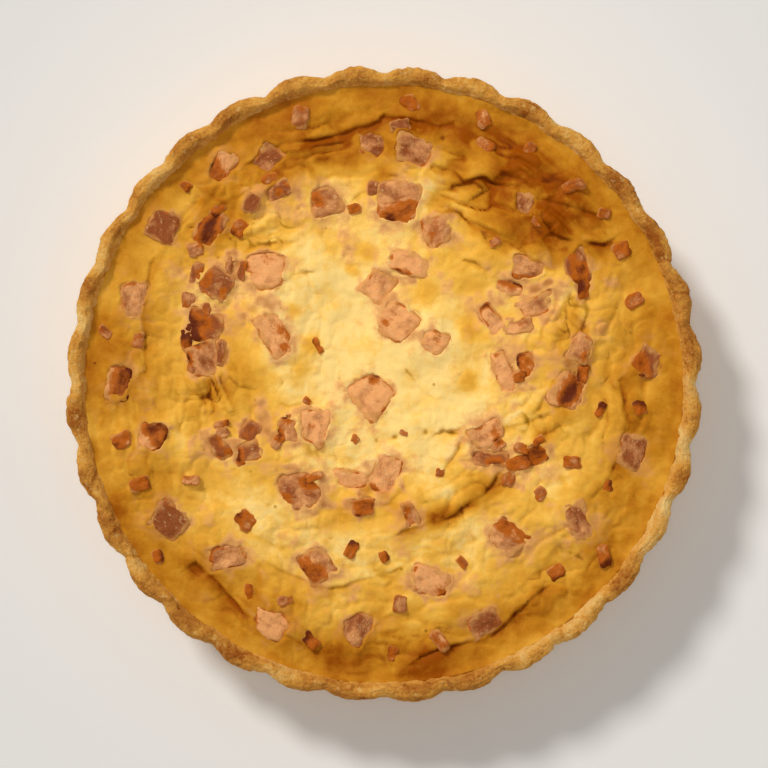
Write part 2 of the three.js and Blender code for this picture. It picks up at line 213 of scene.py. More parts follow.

# Bacon and cheese under the skin, and at 372, 187 a tint of painted shade: picture x, y, length and width
# in pixels, height in mm, strength of tint
SUNKEN = [
    (286, 208, 34, 22, 0.8, 0.7), (304, 216, 24, 18, 0.7, 0.6), (254, 202, 20, 24, 0.5, 1.2),
    (268, 192, 26, 14, 0.5, 0.9), (346, 244, 24, 34, 0.7, 0.7), (354, 262, 14, 12, 0.3, 0.3),
    (264, 256, 40, 10, 0.6, 1.2), (240, 268, 14, 26, 0.5, 1.2), (266, 302, 34, 24, 0.7, 0.8),
    (242, 318, 34, 20, 0.8, 0.8), (226, 326, 16, 26, 0.5, 0.6), (224, 352, 10, 28, 0.5, 1.6),
    (307, 348, 26, 22, 0.6, 0.1), (262, 408, 22, 28, 0.7, 0.7), (264, 424, 26, 30, 0.6, 0.9),
    (246, 428, 20, 20, 0.4, 1.4), (276, 440, 24, 14, 0.4, 0.8), (224, 320, 20, 22, 0.4, 0.8),
    (212, 306, 22, 16, 0.4, 0.7), (232, 256, 22, 16, 0.4, 1.0), (562, 288, 18, 22, 0.4, 0.7),
    (540, 284, 24, 16, 0.3, 0.9), (514, 388, 18, 14, 0.3, 0.7), (444, 344, 12, 16, 0.3, 0.5),
    (382, 308, 16, 12, 0.3, 0.8), (398, 245, 26, 10, 0.3, 0.6), (450, 292, 17, 24, 0.3, 0.6),
    (427, 291, 20, 20, 0.25, 0), (453, 374, 12, 12, 0.3, 0.4), (470, 329, 24, 14, 0.35, 0),
    (468, 380, 20, 18, 0.4, 0), (370, 253, 15, 13, 0.25, 0), (352, 270, 12, 13, 0.25, 0),
    (402, 167, 24, 14, 0.4, 0.6), (392, 132, 30, 14, 0.5, 0.9), (381, 226, 24, 12, 0.3, 0.5),
    (430, 152, 10, 22, 0.4, 0.7), (404, 281, 20, 16, 0.4, 0.8), (402, 304, 20, 12, 0.3, 0.8),
    (370, 370, 22, 12, 0.3, 0.45), (324, 500, 24, 18, 0.6, 0.8), (366, 489, 14, 18, 0.4, 1.4),
    (402, 486, 9, 22, 0.4, 0.8), (298, 426, 14, 22, 0.4, 0.8), (480, 446, 26, 20, 0.5, 0.9),
    (508, 478, 20, 16, 0.5, 1.3), (518, 462, 28, 16, 0.5, 1.3), (520, 480, 14, 24, 0.4, 0.8),
    (527, 386, 16, 14, 0.4, 0.9), (519, 379, 10, 20, 0.4, 0.9), (500, 345, 18, 12, 0.3, 0.5),
    (517, 278, 20, 16, 0.4, 0.8), (524, 296, 24, 14, 0.4, 0.6), (553, 262, 22, 16, 0.4, 0.8),
    (570, 366, 22, 20, 0.4, 0.9), (481, 147, 14, 16, 0.3, 0.7), (516, 192, 18, 12, 0.3, 0.5),
    (187, 302, 16, 22, 0.5, 1.2), (200, 590, 30, 24, 0.8, 0.6), (536, 604, 26, 22, 0.8, 0.6),
    (600, 330, 26, 22, 0.7, 0.6), (176, 272, 26, 22, 0.6, 0.6), (146, 404, 24, 20, 0.6, 0.6),
    (196, 448, 22, 26, 0.5, 0.6), (206, 516, 24, 20, 0.6, 0.5), (352, 594, 26, 22, 0.6, 0.6),
    (470, 584, 24, 20, 0.6, 0.5), (548, 470, 24, 20, 0.5, 0.6), (598, 524, 22, 26, 0.6, 0.6),
    (610, 282, 24, 20, 0.6, 0.5), (398, 530, 24, 18, 0.5, 0.5), (286, 540, 26, 22, 0.6, 0.6),
    (440, 106, 24, 14, 0.4, 0.5), (572, 206, 22, 18, 0.5, 0.5), (296, 192, 24, 18, 0.4, 0.8),
    (262, 216, 24, 14, 0.3, 0.6), (324, 224, 26, 12, 0.3, 0.6), (344, 218, 14, 20, 0.3, 0.7),
    (372, 208, 10, 26, 0.2, 0.7), (232, 300, 22, 16, 0.3, 0.8), (218, 262, 34, 10, 0.3, 0.7),
    (290, 318, 14, 14, 0.3, 0.6), (232, 448, 30, 18, 0.3, 0.9), (296, 466, 34, 14, 0.4, 0.8),
    (328, 488, 20, 16, 0.4, 0.7), (384, 496, 22, 14, 0.3, 0.9), (366, 462, 20, 12, 0.3, 0.7),
    (488, 462, 54, 22, 0.3, 0.7), (526, 446, 30, 14, 0.3, 0.9), (545, 322, 22, 12, 0.3, 0.6),
    (498, 296, 20, 20, 0.3, 0.7), (517, 368, 20, 16, 0.3, 1.3), (396, 296, 26, 14, 0.3, 0.9),
    (362, 144, 26, 22, 0.4, 0.9), (430, 138, 16, 20, 0.4, 0.6), (196, 274, 14, 22, 0.4, 1.3),
    (188, 334, 14, 34, 0.4, 1.5), (190, 362, 12, 16, 0.3, 1.0), (232, 270, 12, 26, 0.3, 1.1),
    (222, 434, 14, 14, 0.3, 1.1), (208, 308, 24, 10, 0.3, 1.0), (372, 187, 8, 18, 0.2, 0.7),
    (521, 377, 16, 12, 0.3, 1.2), (582, 290, 12, 26, 0.3, 1.2), (580, 374, 12, 26, 0.3, 1.3),
]

# Slivers that break the skin: picture x, y, length and width in pixels, turn in degrees, tone, how
# scorched; the last, at 373, 189, is a dark piece set where a die casts its shadow, which is painted shadow
SLIVERS = [
    (262, 255, 38, 9, 4, 0.9, 0.0), (242, 270, 20, 8, 80, 0.9, 0.1), (252, 204, 22, 15, 64, 0.9, 0.1),
    (270, 179, 17, 9, 24, 0.7, 0.5), (218, 210, 16, 11, 44, 0.8, 0.5), (197, 273, 20, 12, 78, 0.9, 0.2),
    (188, 300, 22, 14, 84, 0.9, 0.3), (187, 340, 20, 13, 88, 0.9, 0.7), (221, 353, 26, 7, 84, 0.8, 0.1),
    (192, 366, 14, 9, 70, 0.9, 0.3), (250, 432, 22, 16, 50, 0.9, 0.2), (223, 433, 13, 10, 30, 0.8, 0.1),
    (518, 463, 23, 14, 20, 1.0, 0.5), (508, 479, 15, 11, 70, 0.9, 0.4),
    (520, 377, 14, 10, 10, 0.7, 0.5), (583, 290, 20, 12, 84, 0.9, 0.5),
    (582, 374, 18, 12, 80, 0.9, 0.6), (400, 126, 18, 11, 10, 0.9, 0.1),
    (318, 346, 16, 6, -58, 0.3, 0.7), (230, 266, 18, 10, 70, 0.8, 0.1),
    (190, 354, 26, 12, 84, 1.0, 0.4), (572, 401, 20, 13, 24, 0.9, 0.6), (538, 441, 14, 8, 40, 0.8, 0.2),
    (522, 448, 16, 10, -20, 0.8, 0.2), (498, 446, 16, 10, 40, 0.6, 0.2),
    (196, 250, 16, 13, 10, 0.8, 0.2), (314, 477, 17, 8, 20, 0.3, -0.5),
    (279, 442, 14, 10, 60, 0.7, 0.0), (206, 309, 14, 9, 80, 0.8, 0.1), (373, 189, 13, 10, 80, 1.1, 0.0),
]

# Custard tinted by the bacon in it: picture x, y, radius in pixels, strength
BLUSHES = [
    (343, 231, 7, 0.4), (415, 343, 9, 0.35), (487, 356, 8, 0.5), (388, 158, 9, 0.4), (346, 372, 9, 0.3),
    (236, 332, 14, 0.3), (530, 292, 16, 0.3), (516, 344, 10, 0.3), (370, 470, 12, 0.25),
    (505, 452, 14, 0.3), (392, 230, 11, 0.5), (412, 227, 8, 0.4), (340, 190, 12, 0.5),
    (245, 293, 9, 0.4),
]

# Where the oven browns the top, or below 0 left it pale, with some patches of painted shade: picture x, y,
# radius in pixels, strength
# Painted shade: the patches at 450, 512, at 436, 517 and at 434, 519 at the foot of a fold, at 367, 489 and
# at 372, 187 beside dice, and in part at 297, 143 towards the rim
BROWNED_AND_SHADED = [
    (228, 330, 44, 0.1), (274, 177, 12, 0.6), (372, 187, 9, 0.4), (352, 162, 14, 0.4),
    (442, 205, 11, 0.5), (347, 517, 12, 0.25), (476, 200, 20, 0.12), (219, 214, 18, 0.5),
    (518, 240, 11, 0.4), (508, 384, 16, 0.12), (404, 518, 18, 0.14), (470, 504, 9, 0.3),
    (468, 492, 16, 0.12), (450, 512, 10, 0.6), (326, 162, 14, 0.4), (242, 340, 34, 0.1),
    (262, 430, 34, 0.16), (510, 318, 34, 0.12), (534, 372, 30, 0.14), (440, 300, 40, 0.1),
    (400, 508, 30, 0.12), (314, 316, 26, 0.08), (384, 176, 9, 0.4), (566, 372, 26, 0.14),
    (384, 128, 34, 0.3), (424, 120, 34, 0.34), (300, 134, 22, 0.08), (574, 350, 26, 0.2),
    (570, 398, 26, 0.22), (270, 422, 20, 0.2), (222, 332, 22, 0.16), (398, 510, 26, 0.14),
    (541, 438, 14, 0.4), (552, 432, 14, 0.2), (532, 196, 14, 0.4), (540, 205, 42, 0.34),
    (478, 148, 34, 0.28), (520, 172, 30, 0.28), (460, 171, 12, 0.35), (560, 240, 26, 0.2),
    (320, 138, 30, 0.14), (357, 136, 14, 0.4), (296, 168, 18, 0.2), (488, 214, 22, 0.26),
    (480, 257, 26, 0.28), (506, 227, 20, 0.3), (538, 230, 17, 0.3), (446, 494, 8, -0.25),
    (330, 442, 18, -0.2), (446, 338, 22, -0.1), (491, 407, 10, 0.15), (367, 489, 7, 0.5),
    (386, 494, 8, 0.3), (461, 427, 8, 0.15), (480, 236, 9, -0.2), (436, 517, 12, 0.45),
    (534, 186, 12, 0.35), (464, 141, 16, 0.3), (297, 143, 12, 0.25), (564, 411, 11, 0.25),
    (440, 262, 20, 0.06), (238, 374, 24, 0.22), (262, 374, 14, 0.1), (302, 372, 14, 0.26),
    (208, 396, 22, 0.28), (222, 202, 24, 0.16), (476, 478, 26, 0.26), (492, 494, 20, 0.3),
    (340, 505, 26, 0.16), (270, 466, 24, 0.18), (566, 320, 24, 0.18), (370, 253, 8, 0.28),
    (352, 270, 7, 0.3), (293, 313, 8, 0.34), (310, 345, 12, 0.5), (470, 329, 11, 0.32),
    (468, 380, 10, 0.42), (427, 291, 10, 0.3), (434, 519, 9, 0.4), (347, 252, 26, 0.12),
    (345, 352, 60, -0.12), (322, 290, 40, -0.14), (438, 392, 46, -0.12), (440, 455, 34, -0.14),
    (422, 194, 22, -0.2), (440, 178, 18, -0.12), (536, 400, 34, -0.06), (360, 176, 14, -0.16),
    (320, 184, 26, -0.14),
]

# Where the skin is wrinkled: picture x, y, radius in pixels, direction in degrees, strength
WRINKLED = [
    (496, 190, 66, -24, 1.5), (558, 240, 46, -48, 1.3), (322, 146, 54, 14, 1.0),
    (252, 236, 44, 24, 0.7), (212, 396, 36, -66, 1.0), (566, 318, 44, 70, 0.9), (470, 496, 50, 34, 0.6),
    (320, 470, 60, 10, 0.5), (530, 424, 44, 20, 0.7), (420, 440, 60, -10, 0.3), (200, 200, 60, 46, 0.7),
    (140, 420, 70, -84, 0.7), (240, 600, 80, -38, 0.7), (420, 620, 90, 6, 0.7), (580, 540, 80, 42, 0.7),
    (630, 400, 60, 84, 0.7),
]

# Where the custard is curdled into small pads: picture x, y, radius in pixels, strength
CURDLED = [
    (254, 238, 46, 1.2), (214, 258, 30, 1.0), (566, 318, 40, 1.2), (208, 404, 36, 0.7),
    (318, 458, 60, 0.7), (536, 424, 46, 0.7), (296, 176, 46, 0.5), (402, 168, 30, 0.7),
    (436, 500, 50, 0.4), (222, 204, 34, 1.1), (300, 290, 30, 0.4), (170, 480, 60, 0.6),
    (330, 600, 70, 0.6), (560, 560, 70, 0.6), (620, 360, 50, 0.6), (150, 330, 40, 0.6),
]

# Where bacon is scorched brown, with a few patches of painted shadow: picture x, y, radius in pixels,
# strength
CAUGHT_AND_SHADOWED = [
    (398, 213, 13, 1.0), (387, 218, 8, 0.9), (412, 207, 7, 0.8), (279, 193, 5, 1.1),
    (320, 203, 9, 0.75), (315, 196, 6, 0.8), (210, 228, 12, 1.2), (205, 240, 9, 1.2),
    (280, 436, 5, 0.4), (525, 376, 6, 0.6), (247, 266, 4, 0.7), (253, 258, 7, 0.4), (267, 256, 7, 0.35),
    (280, 257, 6, 0.3), (249, 274, 5, 0.4), (206, 282, 7, 0.7), (210, 273, 6, 0.6), (223, 291, 4, 0.8),
    (222, 298, 4, 0.8), (402, 276, 9, 0.7), (392, 271, 5, 0.8), (386, 322, 6, 0.8), (396, 303, 6, 0.4),
    (431, 236, 9, 0.6), (437, 225, 5, 0.4), (512, 281, 10, 0.9), (500, 279, 7, 0.9), (525, 282, 7, 0.9),
    (520, 325, 7, 0.5), (485, 303, 6, 0.7), (581, 269, 9, 1.3), (578, 285, 9, 1.4), (571, 255, 6, 0.6),
    (205, 322, 9, 1.0), (186, 325, 12, 1.9), (196, 338, 7, 1.6), (191, 362, 5, 0.8), (281, 329, 8, 0.7),
    (284, 349, 8, 0.6), (291, 336, 5, 0.6), (374, 378, 6, 1.1), (287, 417, 8, 0.9), (280, 436, 7, 1.0),
    (295, 411, 5, 0.9), (312, 425, 5, 0.6), (238, 452, 6, 1.6), (240, 461, 5, 1.3), (222, 441, 6, 0.6),
    (228, 451, 6, 0.9), (315, 479, 9, 1.1), (305, 482, 7, 0.9), (323, 481, 6, 1.0), (287, 499, 6, 0.9),
    (301, 506, 6, 0.5), (366, 488, 5, 0.9), (377, 461, 5, 0.7), (373, 487, 5, 0.9), (364, 507, 14, 1.1),
    (437, 341, 6, 0.55), (434, 331, 6, 0.5), (515, 363, 4, 1.4), (526, 359, 12, 1.0),
    (532, 377, 5, 0.7), (577, 340, 6, 0.6), (585, 356, 6, 1.1), (567, 389, 9, 0.9), (575, 384, 9, 1.05),
    (562, 401, 6, 1.1), (574, 372, 6, 0.9), (480, 424, 6, 1.1), (494, 432, 7, 0.7), (498, 441, 5, 0.9),
    (498, 464, 7, 1.5), (489, 461, 5, 0.9), (476, 459, 5, 0.2), (536, 453, 14, 1.35),
    # Painted shadow: the patches at 571, 398, at 198, 344, at 190, 356 and at 187, 321
    (405, 506, 6, 1.0), (414, 522, 5, 0.5), (571, 398, 8, 1.2), (198, 344, 6, 0.9), (190, 356, 5, 0.7),
    (216, 219, 7, 0.8), (204, 274, 6, 0.6), (187, 321, 7, 0.8),
]

# Tone of each die of bacon in the picture: about 0 where it is pink, and 1 where it is mauve
TONES = {
    1: 0.55, 2: 0.85, 3: 0.7, 4: 1.0, 5: 1.0, 6: 0.65, 7: 1.2, 8: -0.3, 9: 0.9, 10: 0.05,
    11: -0.25, 12: -0.05, 13: 0.4, 14: 0.65, 15: 0.2, 16: 0.3, 17: 0.4, 18: 0.0, 19: 1.1, 20: 1.1,
    21: 0.6, 22: 0.1, 23: 0.0, 24: 0.6, 25: 0.2, 26: 0.85, 27: 1.2, 28: 0.8, 29: -0.3, 30: 0.2,
    31: 0.8, 32: -0.15, 33: 0.05, 34: 0.7, 35: 0.6, 36: 0.3, 37: 0.25, 38: 0.9, 39: 1.2, 40: 0.6,
    41: 0.85,
}


def linear(red, green, blue):
    """A colour as seen on a screen, 0 to 255, as the light that it stands for."""
    shares = [c / 255 for c in (red, green, blue)]
    return tuple(c / 12.92 if c <= 0.04045 else ((c + 0.055) / 1.055) ** 2.4 for c in shares)


def colour_property(name, description, *screen):
    """A colour that a user can change, given as seen on a screen."""
    return FloatVectorProperty(
        name=name, description=description, default=linear(*screen), subtype="COLOR", size=3, min=0, max=1
    )


def height_property(name, description, millimetres):
    """A small height that a user can change."""
    return FloatProperty(
        name=name, description=description, default=millimetres * MM, min=0, subtype="DISTANCE", precision=5
    )


class PastrySettings(PropertyGroup):
    """Sizes and colours of the shortcrust case."""

    steps_around: IntProperty(
        name="Steps around", description="Points around the case", default=1024, min=128
    )
    lumps: height_property("Lumps", "Height of the hand-pressed unevenness", 0.35)
    crumb: height_property("Crumb", "Height of the crumbly grain", 0.3)
    pale: colour_property("Pale", "Least baked pastry", 248, 208, 130)
    golden: colour_property("Golden", "Well baked pastry", 228, 162, 68)
    brown: colour_property("Brown", "Pastry at the edge of the rim", 164, 90, 24)


class CustardSettings(PropertyGroup):
    """Sizes and colours of the egg and cheese filling."""

    rings: IntProperty(name="Rings", description="Rings of the fine surface", default=180, min=20)
    curds: height_property("Curds", "Height of the curdled pads", 1.5)
    wrinkles: height_property("Wrinkles", "Height of the folds in the skin", 1.4)
    grain: height_property("Grain", "Height of the fine grain", 0.1)
    cream: colour_property("Cream", "Creamiest custard", 255, 217, 134)
    pale: colour_property("Pale", "Pale custard", 255, 208, 111)
    yellow: colour_property("Yellow", "Set custard", 245, 187, 74)
    golden: colour_property("Golden", "Lightly browned custard", 228, 164, 52)
    amber: colour_property("Amber", "Browned custard", 204, 134, 28)
    brown: colour_property("Brown", "Darkest baked custard", 158, 78, 0)
    # Colours of the painted shade at the bottom of folds and creases
    pale_fold_shade: colour_property("Pale fold", "Bottom of a fold in pale custard", 172, 122, 12)
    brown_fold_shade: colour_property("Brown fold", "Bottom of a fold in brown custard", 104, 36, 0)
    blush: colour_property("Blush", "Custard beside bacon", 240, 176, 112)
    steeped: colour_property("Steeped", "Thin custard over bacon", 176, 106, 58)


class BaconSettings(PropertyGroup):
    """Sizes and colours of the diced bacon."""

    torn: height_property("Torn surface", "Height of the torn meat", 0.42)
    pink: colour_property("Pink", "Cut face of lean bacon", 247, 174, 108)
    mauve: colour_property("Mauve", "Darker cooked bacon", 156, 82, 36)
    fat: colour_property("Fat", "Marbling of fat", 250, 206, 146)
    # Caramel and char also colour a few patches of painted shadow.
    caramel: colour_property("Caramel", "Caught meat", 194, 98, 6)
    char: colour_property("Char", "Darkest caught meat", 96, 30, 0)
    custard: colour_property("Custard", "Thin custard on the bacon", 222, 158, 86)


class StageSettings(PropertyGroup):
    """The floor, the lights and the camera."""

    floor: colour_property("Floor", "Colour of the plain floor", 252, 251, 249)
    camera_height: FloatProperty(
        name="Camera height", description="From the floor up", default=1.1, min=0.1, subtype="DISTANCE"
    )
    key_strength: FloatProperty(
        name="Key light", description="Strength of the light from the upper left", default=1.74, min=0
    )
    pool_power: FloatProperty(
        name="Pool light", description="Light over the middle", default=5.3, min=0, subtype="POWER"
    )
    air: FloatProperty(
        name="Air", description="Strength of the even light from all round", default=0.4, min=0
    )


class Signal:
    """A shader socket on which Python arithmetic can be done."""

    def __init__(self, finish, socket):
        self.finish = finish
        self.socket = socket

    def maths(self, operation, first, second):
        return self.finish.node("ShaderNodeMath", {"operation": operation}, {0: first, 1: second})

    def __add__(self, other):
        return self.maths("ADD", self, other)

    __radd__ = __add__

    def __sub__(self, other):
        return self.maths("SUBTRACT", self, other)

    def __rsub__(self, other):
        return self.maths("SUBTRACT", other, self)

    def __mul__(self, other):
        return self.maths("MULTIPLY", self, other)

    __rmul__ = __mul__

    def between(self, low, high):
        """0 below low, 1 above high, and a smooth step from one to the other."""
        settings = {"interpolation_type": "SMOOTHSTEP"}
        sockets = {"Value": self, "From Min": low, "From Max": high}
        return self.finish.node("ShaderNodeMapRange", settings, sockets)


class Finish:
    """A material whose nodes all come from node()."""

    def __init__(self, name):
        self.material = bpy.data.materials.new(name)
        self.material.use_nodes = True
        self.tree = self.material.node_tree
        self.tree.nodes.clear()

    def node(self, kind, settings=None, sockets=None, output=0):
        """Adds a node, sets what it is first, then its sockets, and returns one output."""
        made = self.tree.nodes.new(kind)
        for name, value in (settings or {}).items():
            if name == "stops":
                self.set_stops(made.color_ramp, value)
            else:
                setattr(made, name, value)
        for name, value in (sockets or {}).items():
            socket = made.inputs[name]
            if isinstance(value, Signal):
                self.tree.links.new(value.socket, socket)
            elif socket.type == "RGBA" and len(value) == 3:
                socket.default_value = (*value, 1)
            else:
                socket.default_value = value
        return Signal(self, made.outputs[output]) if made.outputs else None

    @staticmethod
    def set_stops(ramp, stops):
        """Gives a ramp its places and colours."""
        while len(ramp.elements) < len(stops):
            ramp.elements.new(1)
        for element, (place, colour) in zip(ramp.elements, stops):
            element.position = place
            element.color = (*colour, 1)

    def mixed(self, share, first, second):
        """The first colour where share is 0, and the second where it is 1."""
        settings = {"data_type": "RGBA", "clamp_factor": True}
        return self.node("ShaderNodeMix", settings, {0: share, 6: first, 7: second}, output=2)

    def painted(self, name, output=2):
        """A value, or with output 1 a vector, that the mesh carries at each point."""
        settings = {"attribute_type": "GEOMETRY", "attribute_name": name}
        return self.node("ShaderNodeAttribute", settings, {}, output)

    def noise(self, place, scale, detail=3.0, roughness=0.55):
        """Cloudy noise from 0 to 1; scale is in bumps for each unit of place."""
        sockets = {"Vector": place, "Scale": scale, "Detail": detail, "Roughness": roughness}
        return self.node("ShaderNodeTexNoise", {}, sockets)

    def cells(self, place, scale):
        """Distance to the nearest of scattered points, in shares of their spacing."""
        return self.node("ShaderNodeTexVoronoi", {"feature": "F1"}, {"Vector": place, "Scale": scale})

    def place(self):
        """Where a point is on the piece, in metres."""
        return self.node("ShaderNodeTexCoord", {}, {}, output=3)

    def relief(self, height, distance):
        """A bumped normal; distance is the height in metres that 1 stands for."""
        return self.node("ShaderNodeBump", {}, {"Height": height, "Distance": distance, "Strength": 1.0})

    def close(self, colour, roughness, normal, softness=0.0, reach=(1.0, 0.4, 0.15), shine=0.5):
        """Ends the material in one surface; softness is how much light goes under the skin."""
        sockets = {
            "Base Color": colour,
            "Roughness": roughness,
            "Normal": normal,
            "Subsurface Weight": softness,
            "Subsurface Radius": reach,
            "Subsurface Scale": LIGHT_DEPTH,
            "Specular IOR Level": shine,
        }
        surface = self.node("ShaderNodeBsdfPrincipled", {}, sockets)
        self.node("ShaderNodeOutputMaterial", {}, {"Surface": surface})
        return self.material


def pastry_finish(look):
    """Baked shortcrust: golden and matt, browner where it stands out, with a crumbly grain."""
    finish = Finish("shortcrust")
    place = finish.place()
    baked = finish.painted("baked")
    cloudy = finish.noise(place, 60, detail=4)
    grainy = finish.noise(place, 1100, detail=3, roughness=0.7)
    mottled = finish.noise(place, 260, detail=4, roughness=0.6)
    shade = baked + (cloudy - 0.5) * 0.7 + (mottled - 0.5) * 0.9 + (grainy - 0.5) * 0.7
    stops = [(0.0, look.pale), (0.5, look.golden), (1.0, look.brown)]
    colour = finish.node("ShaderNodeValToRGB", {"stops": stops}, {"Fac": shade})
    dusty = finish.noise(place, 420, detail=2).between(0.6, 0.72) * 0.4
    colour = finish.mixed(dusty, colour, look.pale)
    normal = finish.relief(grainy + mottled * 1.4, 0.7 * MM)
    return finish.close(colour, 0.86 - baked * 0.12, normal, softness=0.04, shine=0.12)


def custard_finish(look):
    """Baked egg custard: pale yellow through gold to brown, with painted shade in its folds, blushing over
    bacon.
    """
    finish = Finish("custard")
    place = finish.place()
    browned = finish.painted("browned")
    creased = finish.painted("creased")
    blushing = finish.painted("blushing")
    cloudy = finish.noise(place, 75, detail=4)
    mottled = finish.noise(place, 280, detail=5, roughness=0.62)
    fine = finish.noise(place, 1500, detail=3)
    shade = browned + (cloudy - 0.5) * 0.4 + (mottled - 0.5) * 0.45 + (fine - 0.5) * 0.1
    colours = (look.cream, look.pale, look.yellow, look.golden, look.amber, look.brown)
    stops = list(zip((0.0, 0.09, 0.24, 0.45, 0.68, 1.0), colours))
    colour = finish.node("ShaderNodeValToRGB", {"stops": stops}, {"Fac": shade})
    tint = (blushing + (mottled - 0.5) * 1.3 + (fine - 0.5) * 0.6).between(0.1, 0.9) * 0.86
    steeped = (blushing + (mottled - 0.5) * 0.8).between(0.35, 1.5)
    tinted = finish.mixed(steeped, look.blush, look.steeped)
    colour = finish.mixed(tint, colour, finish.mixed(browned.between(0.3, 0.8), tinted, look.amber))
    # Painted shade: the bottom of every fold, crease, pit and the hollows take a darker fold-shade colour.
    fold = finish.mixed(browned.between(0.3, 0.7), look.pale_fold_shade, look.brown_fold_shade)
    folded = (creased + (mottled - 0.5) * 0.5).between(0.12, 0.95) * 0.85
    colour = finish.mixed(folded, colour, fold)
    specks = 1 - finish.cells(place, 130).between(0.06, 0.09)
    chosen = finish.noise(place, 40, detail=1).between(0.54, 0.6)
    colour = finish.mixed(specks * chosen * 0.65, colour, fold)
    normal = finish.relief(mottled + fine * 0.3, 0.35 * MM)
    roughness = 0.5 + mottled * 0.2
    return finish.close(colour, roughness, normal, softness=0.1, reach=(1.0, 0.6, 0.25), shine=0.06)


def bacon_finish(look):
    """Diced bacon: pink to mauve lean flecked with fat, scorched brown in places with a few patches of
    painted shadow, custard at its edges.
    """
    finish = Finish("bacon")
    grain = finish.painted("grain", output=1)
    tone = finish.painted("tone")
    caught = finish.painted("caught")
    coated = finish.painted("coated")
    fibres = finish.noise(grain, 0.9, detail=4, roughness=0.6)
    cloudy = finish.noise(grain, 0.33, detail=4, roughness=0.6)
    fine = finish.noise(grain, 3.2, detail=4, roughness=0.65)
    darker = tone + (cloudy - 0.5) * 2.2 + (fibres - 0.5) * 0.7 + (fine - 0.5) * 0.7
    lean = finish.mixed(darker, look.pink, look.mauve)
    marbled = finish.mixed((fibres - caught * 0.3).between(0.56, 0.68) * 0.5, lean, look.fat)
    # Caramel and char here also paint the few patches of shadow.
    edge = caught + 0.08 + (cloudy - 0.5) * 1.5 + (fibres - 0.5) * 0.8 + (fine - 0.5) * 0.5
    colour = finish.mixed(edge.between(0.3, 0.8) * 0.94, marbled, look.caramel)
    colour = finish.mixed(edge.between(0.8, 1.75) * 0.95, colour, look.char)
    dotted = (1 - finish.cells(grain, 0.7).between(0.12, 0.24)) * fine.between(0.45, 0.55)
    colour = finish.mixed(dotted * 0.3, colour, look.char)
    film = (coated + (cloudy - 0.5) * 1.0 + (fine - 0.5) * 0.5).between(0.2, 1.0) * 0.85
    colour = finish.mixed(film, colour, look.custard)
    normal = finish.relief(fibres + fine * 0.5, 0.45 * MM)
    roughness = 0.46 - caught * 0.1
    return finish.close(colour, roughness, normal, softness=0.08, reach=(1.0, 0.5, 0.3), shine=0.12)


def smooth(low, high, value):
    """0 below low, 1 above high, and a smooth step from one to the other."""
    share = np.clip((value - low) / (high - low), 0, 1)
    return share * share * (3 - 2 * share)


def noise(points, size, seed):
    """Smooth noise from -1 to 1 at points in mm; size is a bump's width, and seed tells fields apart."""
    table = np.random.RandomState(seed).uniform(-1, 1, 4096)
    scaled = points / size
    corner = np.floor(scaled).astype(np.int64)
    share = scaled - corner
    share = share * share * (3 - 2 * share)
    total = np.zeros(len(points))
    for dx, dy, dz in np.ndindex(2, 2, 2):
        cell = corner + (dx, dy, dz)
        index = (cell[:, 0] * 73856093) ^ (cell[:, 1] * 19349663) ^ (cell[:, 2] * 83492791)
        weight = np.ones(len(points))
        for axis, step in enumerate((dx, dy, dz)):
            weight *= share[:, axis] if step else 1 - share[:, axis]
        total += weight * table[index & 4095]
    return total


def cloud(points, size, seed, layers=3):
    """Noise of several sizes, each half as wide and half as strong as the one before."""
    total = np.zeros(len(points))
    for layer in range(layers):
        total += noise(points, size / 2**layer, seed + layer) / 2**layer
    return total


def wander(points, size, seeds):
    """Sideways shifts of points, from about -1 to 1, that bend what is drawn at them."""
    return np.column_stack([*(cloud(points, size, seed) for seed in seeds), np.zeros(len(points))])


def bell(distance):
    """1 where the distance is 0, falling smoothly to almost nothing at 2."""
    return np.exp(-(distance**2))


def pads(points, size, seed):
    """Rounded pads parted by sharp folds: how high, from 0 in a fold, and how near to a fold, 1 in it."""
    first, second = (np.abs(noise(points, size, seed + k)) for k in range(2))
    folded = np.minimum(first, second + 0.12)
    return folded, bell(folded / 0.09)


def from_picture(px, py):
    """Picture pixels as millimetres on the quiche."""
    return (px - PICTURE_MIDDLE[0]) * PIXEL_MM, (PICTURE_MIDDLE[1] - py) * PIXEL_MM


def patch(points, px, py, radius):
    """A soft round patch, 1 in the middle, given by its picture place and radius."""
    x, y = from_picture(px, py)
    away = (points[:, 0] - x) ** 2 + (points[:, 1] - y) ** 2
    return np.exp(-away / (radius * PIXEL_MM) ** 2)


def patches(points, spots):
    """The sum of soft round patches given by picture place, radius and strength."""
    return sum(strength * patch(points, px, py, radius) for px, py, radius, strength in spots)


def away_from_line(points, line):
    """Distance in mm to a line through picture pixels, negative on the side away from the light."""
    nearest = np.full(len(points), np.inf)
    signed = np.zeros(len(points))
    for first, last in zip(line, line[1:]):
        start = np.array(from_picture(*first))
        run = np.array(from_picture(*last)) - start
        share = np.clip(((points[:, :2] - start) @ run) / (run @ run), 0, 1)
        away = points[:, :2] - start - share[:, None] * run
        distance = np.hypot(away[:, 0], away[:, 1])
        closer = distance < nearest
        nearest[closer] = distance[closer]
        signed[closer] = (distance * np.where(away @ LIT_SIDE > 0, 1, -1))[closer]
    return signed


def waves(points):
    """Broad and middling waves of the baked surface, in mm."""
    total = np.zeros(len(points))
    for k in range(WAVES):
        length = LONGEST_WAVE * (SHORTEST_WAVE / LONGEST_WAVE) ** (k / (WAVES - 1))
        turn = k * GOLDEN_ANGLE
        along = points[:, 0] * math.cos(turn) + points[:, 1] * math.sin(turn)
        total += WAVE_SLOPE * length * np.sin(2 * math.pi * along / length + k * k)
    return total


def custard_radius():
    """Radius of the top edge of the filling's solid, in mm."""
    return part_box("filling")[1].x / MM


